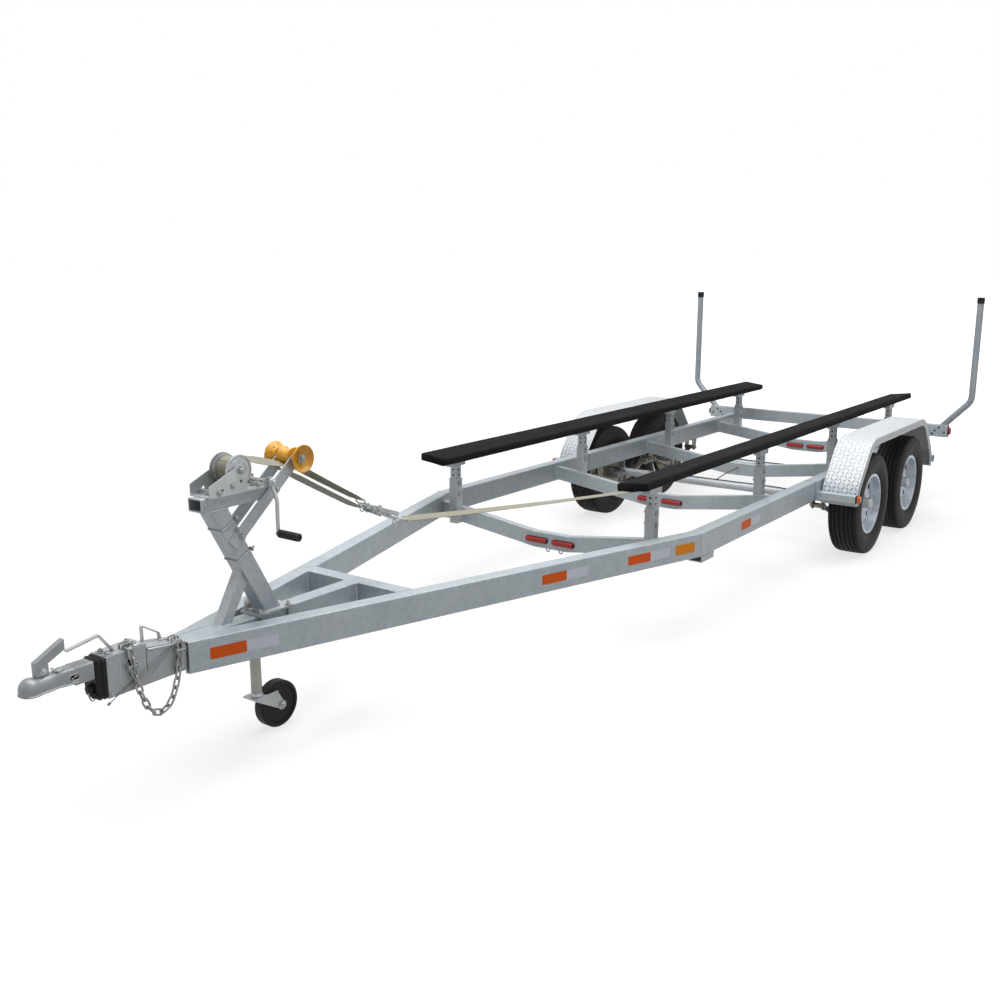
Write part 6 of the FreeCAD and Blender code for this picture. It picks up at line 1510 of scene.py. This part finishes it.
def winch_fittings():
    """The winch's drum, and the bolts, spacer and pawl of its side plates."""
    wound_strap()
    drum_faces()
    bolts = Shape()
    for _, sign in SIDES:
        out = (0, sign, 0)
        bolts.bolt((DRUM.x, sign * 0.062, DRUM.z), out, 0.022, 0.009, 0.0, 0.005)
        for x, z in ((2.70, 1.112), (2.76, 1.102), (2.95, 1.098), (2.885, 1.115)):
            bolts.bolt((x, sign * 0.058, z), out, 0.014, 0.006, 0.0018, 0.003)
        for x in (2.665, 3.0):
            bolts.lathe([(0, 0.009), (0.002, 0.0085), (0.005, 0.005), (0.0055, TIP)],
                        (x, sign * 0.038, 1.056), out, 18)
    for x in (2.73, 2.94):
        bolts.bolt((x, 0.0, 1.0865), UP, *M12_BOLT, 0.004)
    bolts.bar(-0.056, 0.056, 0.006, (2.955, 0, 1.100), ACROSS, 16)
    pawl = [(2.775, 0.050, 1.098), (2.787, 0.050, 1.115), (2.796, 0.050, 1.122)]
    bolts.tube(pawl, 0.0045, 8)
    bolts.make("winch_bolts", BOLT_ZINC, "frame", "zinc_hardware")


def crank_rod():
    """Round crank with a forged eye on its shaft, a set-over bend below it and a ribbed grip."""
    x, _, z = CRANK
    throw, rod_y = 0.205, 0.0990
    low = z - throw
    rod, grip = Shape(), Shape()
    rod.bar(-0.0615, 0.084, 0.0088, CRANK, ACROSS, 20)
    rod.lathe([(0.0, 0.0138), (0.0025, 0.0162), (0.0105, 0.0162), (0.013, 0.0138)], (x, 0.0700, z),
              ACROSS, 28)
    line = [(x, 0.0765, z - 0.010), (x - 0.001, 0.0785, z - 0.026), (x - 0.0015, 0.0905, z - 0.052),
            (x - 0.001, 0.0988, z - 0.078), (x, rod_y, z - 0.110), (x + 0.0005, rod_y, z - 0.160),
            (x, rod_y, low + 0.012), (x, rod_y + 0.0005, low)]
    rod.tube(smooth_line(line, 8), 0.0078, 12)
    rod.lathe([(0, 0.0088), (0.002, 0.0098), (0.012, 0.0098), (0.014, 0.0088)], (x, 0.0920, low), ACROSS, 20)
    rod.bolt((x, 0.0830, z), ACROSS, 0.019, 0.008, 0.0, 0.004)
    piece = rod.make("crank_rod", BRIGHT_ZINC, "winch_crank", "zinc_hardware")
    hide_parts("winch_crank")
    rib_top, rib_foot = 0.0172, 0.0160
    profile = [(0.0, 0.0140), (0.002, 0.0165)]
    for rib in range(11):
        start = 0.006 + rib * 0.0088
        profile += [(start, rib_top), (start + 0.0052, rib_top), (start + 0.0062, rib_foot),
                    (start + 0.0078, rib_foot)]
    profile += [(0.106, rib_top), (0.110, 0.0165), (0.112, 0.0145), (0.112, 0.0075), (0.108, 0.0065)]
    grip.lathe(profile, (x, 0.106, low), ACROSS, 30)
    cover = grip.make("crank_grip_cover", GRIP, "winch_crank", "black_plastic")
    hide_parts("crank_grip")


def u_bolt(shape, corners, radius, nut, axis):
    """A bent rod with a nut at each end."""
    shape.tube(rounded(corners, 0.012, 5), radius, 9)
    for end in (corners[0], corners[-1]):
        shape.bolt(end, axis, nut, 0.009, 0.002, 0.008)


def stand_fittings():
    """U-bolts, bolts and welds of the winch's leaning mast."""
    bolts, beads = Shape(), Shape()
    foot, top = Vector((2.69325, 0, 0.568)), Vector((2.93925, 0, 1.030))
    lean = (top - foot).normalized()
    fore = Vector((lean.z, 0, -lean.x))
    for share in (0.56, 0.85):
        ahead = foot.lerp(top, share) + fore * 0.0405
        back = foot.lerp(top, share) - fore * 0.0395
        half = ACROSS * 0.0415
        u_bolt(bolts, [back + half, ahead + half, ahead - half, back - half], 0.0032, 0.012, -fore)
    side, high, low = 0.0435, 0.5685, 0.4525
    for x in (2.619, 2.768):
        u_bolt(bolts, [Vector((x, side, high)), Vector((x, side, low)), Vector((x, -side, low)),
                       Vector((x, -side, high))], 0.0045, 0.017, UP)
    face = 0.0452
    for _, sign in SIDES:
        for reach in (-0.012, 0.018):
            bolts.bolt(Vector((2.845, sign * face, 0.915)) + lean * reach, (0, sign, 0), *M10_BOLT)
    for _, sign in SIDES:
        bolts.bolt((2.6525, sign * face, 1.062), (0, sign, 0), *M10_BOLT)
        bolts.bolt((SPOOL.x, sign * 0.0725, SPOOL.z), (0, sign, 0), 0.020, 0.009, 0.0025, 0.004)
    bolts.make("stand_bolts", BOLT_ZINC, "frame", "zinc_hardware")
    side = 0.0385
    brace_foot = [(2.9535, -0.025, 0.5605), (2.9535, 0.025, 0.5605), (2.903, 0.0255, 0.5605)]
    for path, radius, seed in (([(2.655, side, high), (2.735, side, high)], 0.004, 21),
                               ([(2.655, -side, high), (2.735, -side, high)], 0.004, 22),
                               ([(2.740, -0.037, 0.569), (2.740, 0.037, 0.569)], 0.004, 23),
                               (brace_foot, 0.004, 24),
                               ([(2.895, side, 1.0295), (2.981, side, 1.0295)], 0.003, 25)):
        beads.weld(path, radius, seed=seed)
    beads.make("stand_welds", WELD, "frame", "galvanised_steel", 80)


def bow_spool():
    """Moulded yellow spool with a narrow waist and two deep cups that are ribbed inside."""
    spool, ends = Shape(), Shape()
    bore, cup_start, cup_depth = 0.0094, 0.0505, 0.0135
    waist = [(0.0325, bore), (0.0325, 0.0400), (0.0310, 0.0420), (0.0275, 0.0412), (0.022, 0.0360),
             (0.0165, 0.0322), (0.008, 0.0302)]
    spool.turned([(-along, radius) for along, radius in waist] + waist[::-1], SPOOL, ACROSS, 64, closed=True)
    cup = ((0.0, bore), (0.0, 0.0340), (0.002, 0.0362), (0.008, 0.0392), (0.016, 0.0452), (0.023, 0.0522),
           (0.029, 0.0566), (0.0325, 0.0578), (0.0352, 0.0572), (0.0360, 0.0552), (0.0352, 0.0530),
           (0.031, 0.0498), (0.024, 0.0425), (0.0175, 0.0335), (0.0150, 0.0240), (0.0145, 0.0180),
           (0.0185, 0.0160), (0.0190, 0.0125), (0.0175, bore))
    cup = [(cup_start + along, radius) for along, radius in cup]
    for way in (-1, 1):
        spool.turned(cup, SPOOL, (0, way, 0), 64, closed=True)
        for turn in turns(12):
            out = Vector((math.cos(turn), 0, math.sin(turn)))
            middle = Vector((SPOOL.x, way * (cup_start + cup_depth), SPOOL.z)) + out * 0.0435
            lean = Matrix((out, ACROSS, out.cross(ACROSS))).transposed().to_4x4()
            spool.slab(middle, (0.004, 0.016, 0.0022), lean @ Matrix.Rotation(-way * 0.55, 4, "Z"), 0.0006)
        ends.bar(0.0655, 0.0672, 0.0165, SPOOL, (0, way, 0), 24)
        ends.bolt(SPOOL + ACROSS * way * 0.0672, (0, way, 0), 0.019, 0.009, 0.0, 0.004)
    piece = spool.make("bow_spool", YELLOW, "bow_roller", "yellow_roller", 35)
    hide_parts("bow_roller")
    ends.make("spool_bolt", BRIGHT_ZINC, "frame", "zinc_hardware")


# Straps

RATCHET_MIDDLE = Vector((2.020, 0, 0.8425))
RATCHET_TILT = math.radians(-24.5)
RATCHET_RUN = Vector((-math.cos(RATCHET_TILT), 0, math.sin(RATCHET_TILT)))
RATCHET_UP = Vector((math.sin(RATCHET_TILT), 0, math.cos(RATCHET_TILT)))


def ratchet_point(along, across, up):
    """A place on the sloping ratchet: along runs back down the strap from its middle."""
    return RATCHET_MIDDLE + RATCHET_RUN * along + ACROSS * across + RATCHET_UP * up


RATCHET_HUB = ratchet_point(-0.030, 0.0, 0.006)


def ribbon(shape, path, width, flats, thick=WEB_THICK):
    """A flat band along a path. flats gives the direction across the band at each point."""
    rings = []
    half = width / 2
    upper = ((-half * 0.96, thick / 2), (-half * 0.5, thick * 0.46), (0, thick * 0.5),
             (half * 0.5, thick * 0.46), (half * 0.96, thick / 2))
    section = ((-half, 0),) + upper + ((half, 0),) + tuple((u, -v) for u, v in reversed(upper))
    for index, point in enumerate(path):
        along = (path[min(len(path) - 1, index + 1)] - path[max(0, index - 1)]).normalized()
        flat = (flats[index] - along * flats[index].dot(along)).normalized()
        up = along.cross(flat)
        rings.append([point + flat * u + up * v for u, v in section])
    shape.rings(rings)


def twisted(turn, level=ACROSS):
    """The direction across a band that is turned about its run."""
    return level * math.cos(turn) + UP * math.sin(turn)


def sagging(start, end, sag, count):
    """A taut run that sags a little at its middle."""
    shares = [step / count for step in range(count + 1)]
    return [start.lerp(end, share) - UP * sag * 4 * share * (1 - share) for share in shares]


def winch_strap(bands, hook):
    """The winch's strap: off the drum, under the roller and on to the ratchet's front hook."""
    radius = 0.049
    under = SPOOL - UP * 0.0325
    first = [DRUM + Vector((radius * math.sin(turn), 0, radius * math.cos(turn)))
             for turn in (math.radians(degrees) for degrees in (40, 25, 10, -5, -14))]
    lead = sagging(DRUM + Vector((-0.035, 0, 0.0415)), under + Vector((0.012, 0, 0.0005)), 0.0, 24)
    rest = [under, under + Vector((-0.010, 0, 0.001))]
    rest += sagging(under + Vector((-0.018, 0, -0.004)), hook, 0.002, 36)
    path = first + lead + rest
    lead_twist, rest_twist = math.radians(-36), math.radians(30)
    flats = []
    for index in range(len(path)):
        early = min(1.0, max(0.0, (index - len(first)) / (len(lead) - 1)))
        late = max(0.0, (index - len(first) - len(lead)) / (len(rest) - 1))
        turn = lead_twist * math.sin(math.pi * early) ** 0.6
        turn += rest_twist * min(1.0, late * 6, (1 - late) * 12) * (1 - 0.55 * late)
        flats.append(twisted(turn))
    ribbon(bands, path, WEB_WIDE, flats)


def straps():
    """Two bands from the roller to the ratchet, and the tail from there to the near bunk's front end."""
    bands = Shape()
    hook = ratchet_point(-0.133, 0.0, 0.024)
    winch_strap(bands, hook)
    path = sagging(SPOOL + Vector((0.060, 0.004, -0.037)), hook - RATCHET_UP * 0.036, 0.002, 44)
    flats = []
    for index in range(len(path)):
        share = index / (len(path) - 1)
        flats.append(twisted(math.radians(22) * min(1.0, share * 5, (1 - share) * 12) * (1 - 0.3 * share)))
    ribbon(bands, path, WEB_WIDE, flats)
    start, end = ratchet_point(0.186, 0.0, 0.010), Vector((0.836, 0.628, 0.8075))
    path = sagging(start, end, 0.006, 90)
    level = UP.cross((end - start).normalized()).normalized()
    flats = [twisted(math.radians(20) * max(0.0, 1 - index / (len(path) - 1) * 1.3), level)
             for index in range(len(path))]
    ribbon(bands, path, WEB_WIDE, flats)
    loop = [Vector((0.838, 0.628, 0.8065)), Vector((0.80, 0.632, 0.8035)), Vector((0.745, 0.634, 0.8015))]
    ribbon(bands, loop, WEB_WIDE, [ACROSS] * 3)
    piece = bands.make("strap_bands", WEBBING, "frame", "beige_webbing", 50)
    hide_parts("webbing")


def ratchet_ring(shape, along, up, radius, wire):
    """A ring that hangs in the upright plane of the strap's run."""
    shape.tube(circle(ratchet_point(along, 0.0, up), RATCHET_RUN, UP, radius, 28), wire, 8, closed=True)


def cross_bar(shape, along, up, radius, half=0.0335):
    """A round bar that runs across the ratchet."""
    shape.bar(-half, half, radius, ratchet_point(along, 0.0, up), ACROSS, 16)


def ratchet_side(metal, sign, lean, raised):
    """One side of the ratchet: frame plate, handle, toothed wheel and the prongs of both hooks."""
    out, side = (0, sign, 0), ACROSS * sign
    metal.slab(ratchet_point(0.0, sign * 0.0285, 0.002), (0.130, 0.0028, 0.030), lean, 0.001)
    metal.slab(ratchet_point(0.046, sign * 0.0325, 0.014), (0.128, 0.0024, 0.021), raised, 0.001)
    metal.slab(ratchet_point(-0.084, sign * 0.0240, 0.006), (0.052, 0.0028, 0.018), lean, 0.001)
    for along in (-0.056, 0.054):
        metal.bolt(ratchet_point(along, sign * 0.0300, 0.001), out, 0.015, 0.005, 0.001)
    metal.bar(0.0345, 0.0368, 0.0200, RATCHET_HUB, out, 24)
    metal.bolt(RATCHET_HUB + side * 0.0368, out, 0.017, 0.006)
    for turn in turns(14):
        tooth = RATCHET_HUB + (ALONG * math.cos(turn) + UP * math.sin(turn)) * 0.0205 + side * 0.0356
        metal.slab(tooth, (0.0065, 0.0022, 0.0038), tilted(-turn), 0.0005)
    front_hook = ((-0.100, 0.0240, 0.006), (-0.120, 0.0250, 0.014), (-0.133, 0.0260, 0.024))
    shank = ((0.058, 0.0240, 0.001), (0.090, 0.0250, -0.004), (0.122, 0.0140, -0.002))
    rear_hook = ((0.122, 0.0180, 0.0), (0.150, 0.0250, 0.004), (0.186, 0.0260, 0.010))
    for wire, places in ((0.0036, front_hook), (0.0038, shank), (0.0036, rear_hook)):
        prong = [ratchet_point(along, sign * across, up) for along, across, up in places]
        metal.tube(smooth_line(prong, 6), wire, 8)


def strap_hardware():
    """Ratchet between the two straps: frame, toothed spool, handle, hooks and rings."""
    metal, roll = Shape(), Shape()
    lean, raised = tilted(RATCHET_TILT), tilted(RATCHET_TILT + math.radians(5))
    for _, sign in SIDES:
        ratchet_side(metal, sign, lean, raised)
    for along, up, radius in ((-0.030, 0.006, 0.0070), (-0.056, 0.001, 0.0048), (0.054, 0.001, 0.0048),
                              (0.102, 0.017, 0.0068)):
        cross_bar(metal, along, up, radius)
    for along, up, radius, half in ((-0.133, 0.024, 0.0042, 0.0275), (-0.133, -0.010, 0.0042, 0.0275),
                                    (-0.104, 0.006, 0.0040, 0.0255), (0.122, -0.002, 0.0042, 0.0200),
                                    (0.186, 0.010, 0.0042, 0.0275)):
        cross_bar(metal, along, up, radius, half)
    metal.slab(ratchet_point(0.050, 0.0, 0.024), (0.060, 0.052, 0.0026), raised, 0.001)
    metal.slab(ratchet_point(-0.084, 0.0, 0.0145), (0.040, 0.044, 0.0026), lean, 0.001)
    metal.slab(ratchet_point(0.152, 0.0, 0.006), (0.052, 0.024, 0.0050), lean, 0.0015)
    ratchet_ring(metal, -0.105, -0.012, 0.0130, 0.0027)
    ratchet_ring(metal, 0.135, -0.019, 0.0130, 0.0027)
    piece = metal.make("strap_ratchet_parts", BRIGHT_ZINC, "frame", "zinc_hardware")
    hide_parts("strap_ratchet")
    roll.bar(-0.0235, 0.0235, 0.0150, RATCHET_HUB, ACROSS, 28)
    roll.make("ratchet_roll", WEBBING, "frame", "beige_webbing")


camera()
studio()
floor()
dress_solids()
tapes()
frame_welds()
tyres()
wheel_fittings()
spring_fittings()
brake_lines()
fender_tread()
lamps()
wiring()
bunks()
post_fittings()
rear_fittings()
chain_links()
tongue_fittings()
coupler_fittings()
boot()
jack_fittings()
winch_fittings()
crank_rod()
stand_fittings()
bow_spool()
straps()
strap_hardware()
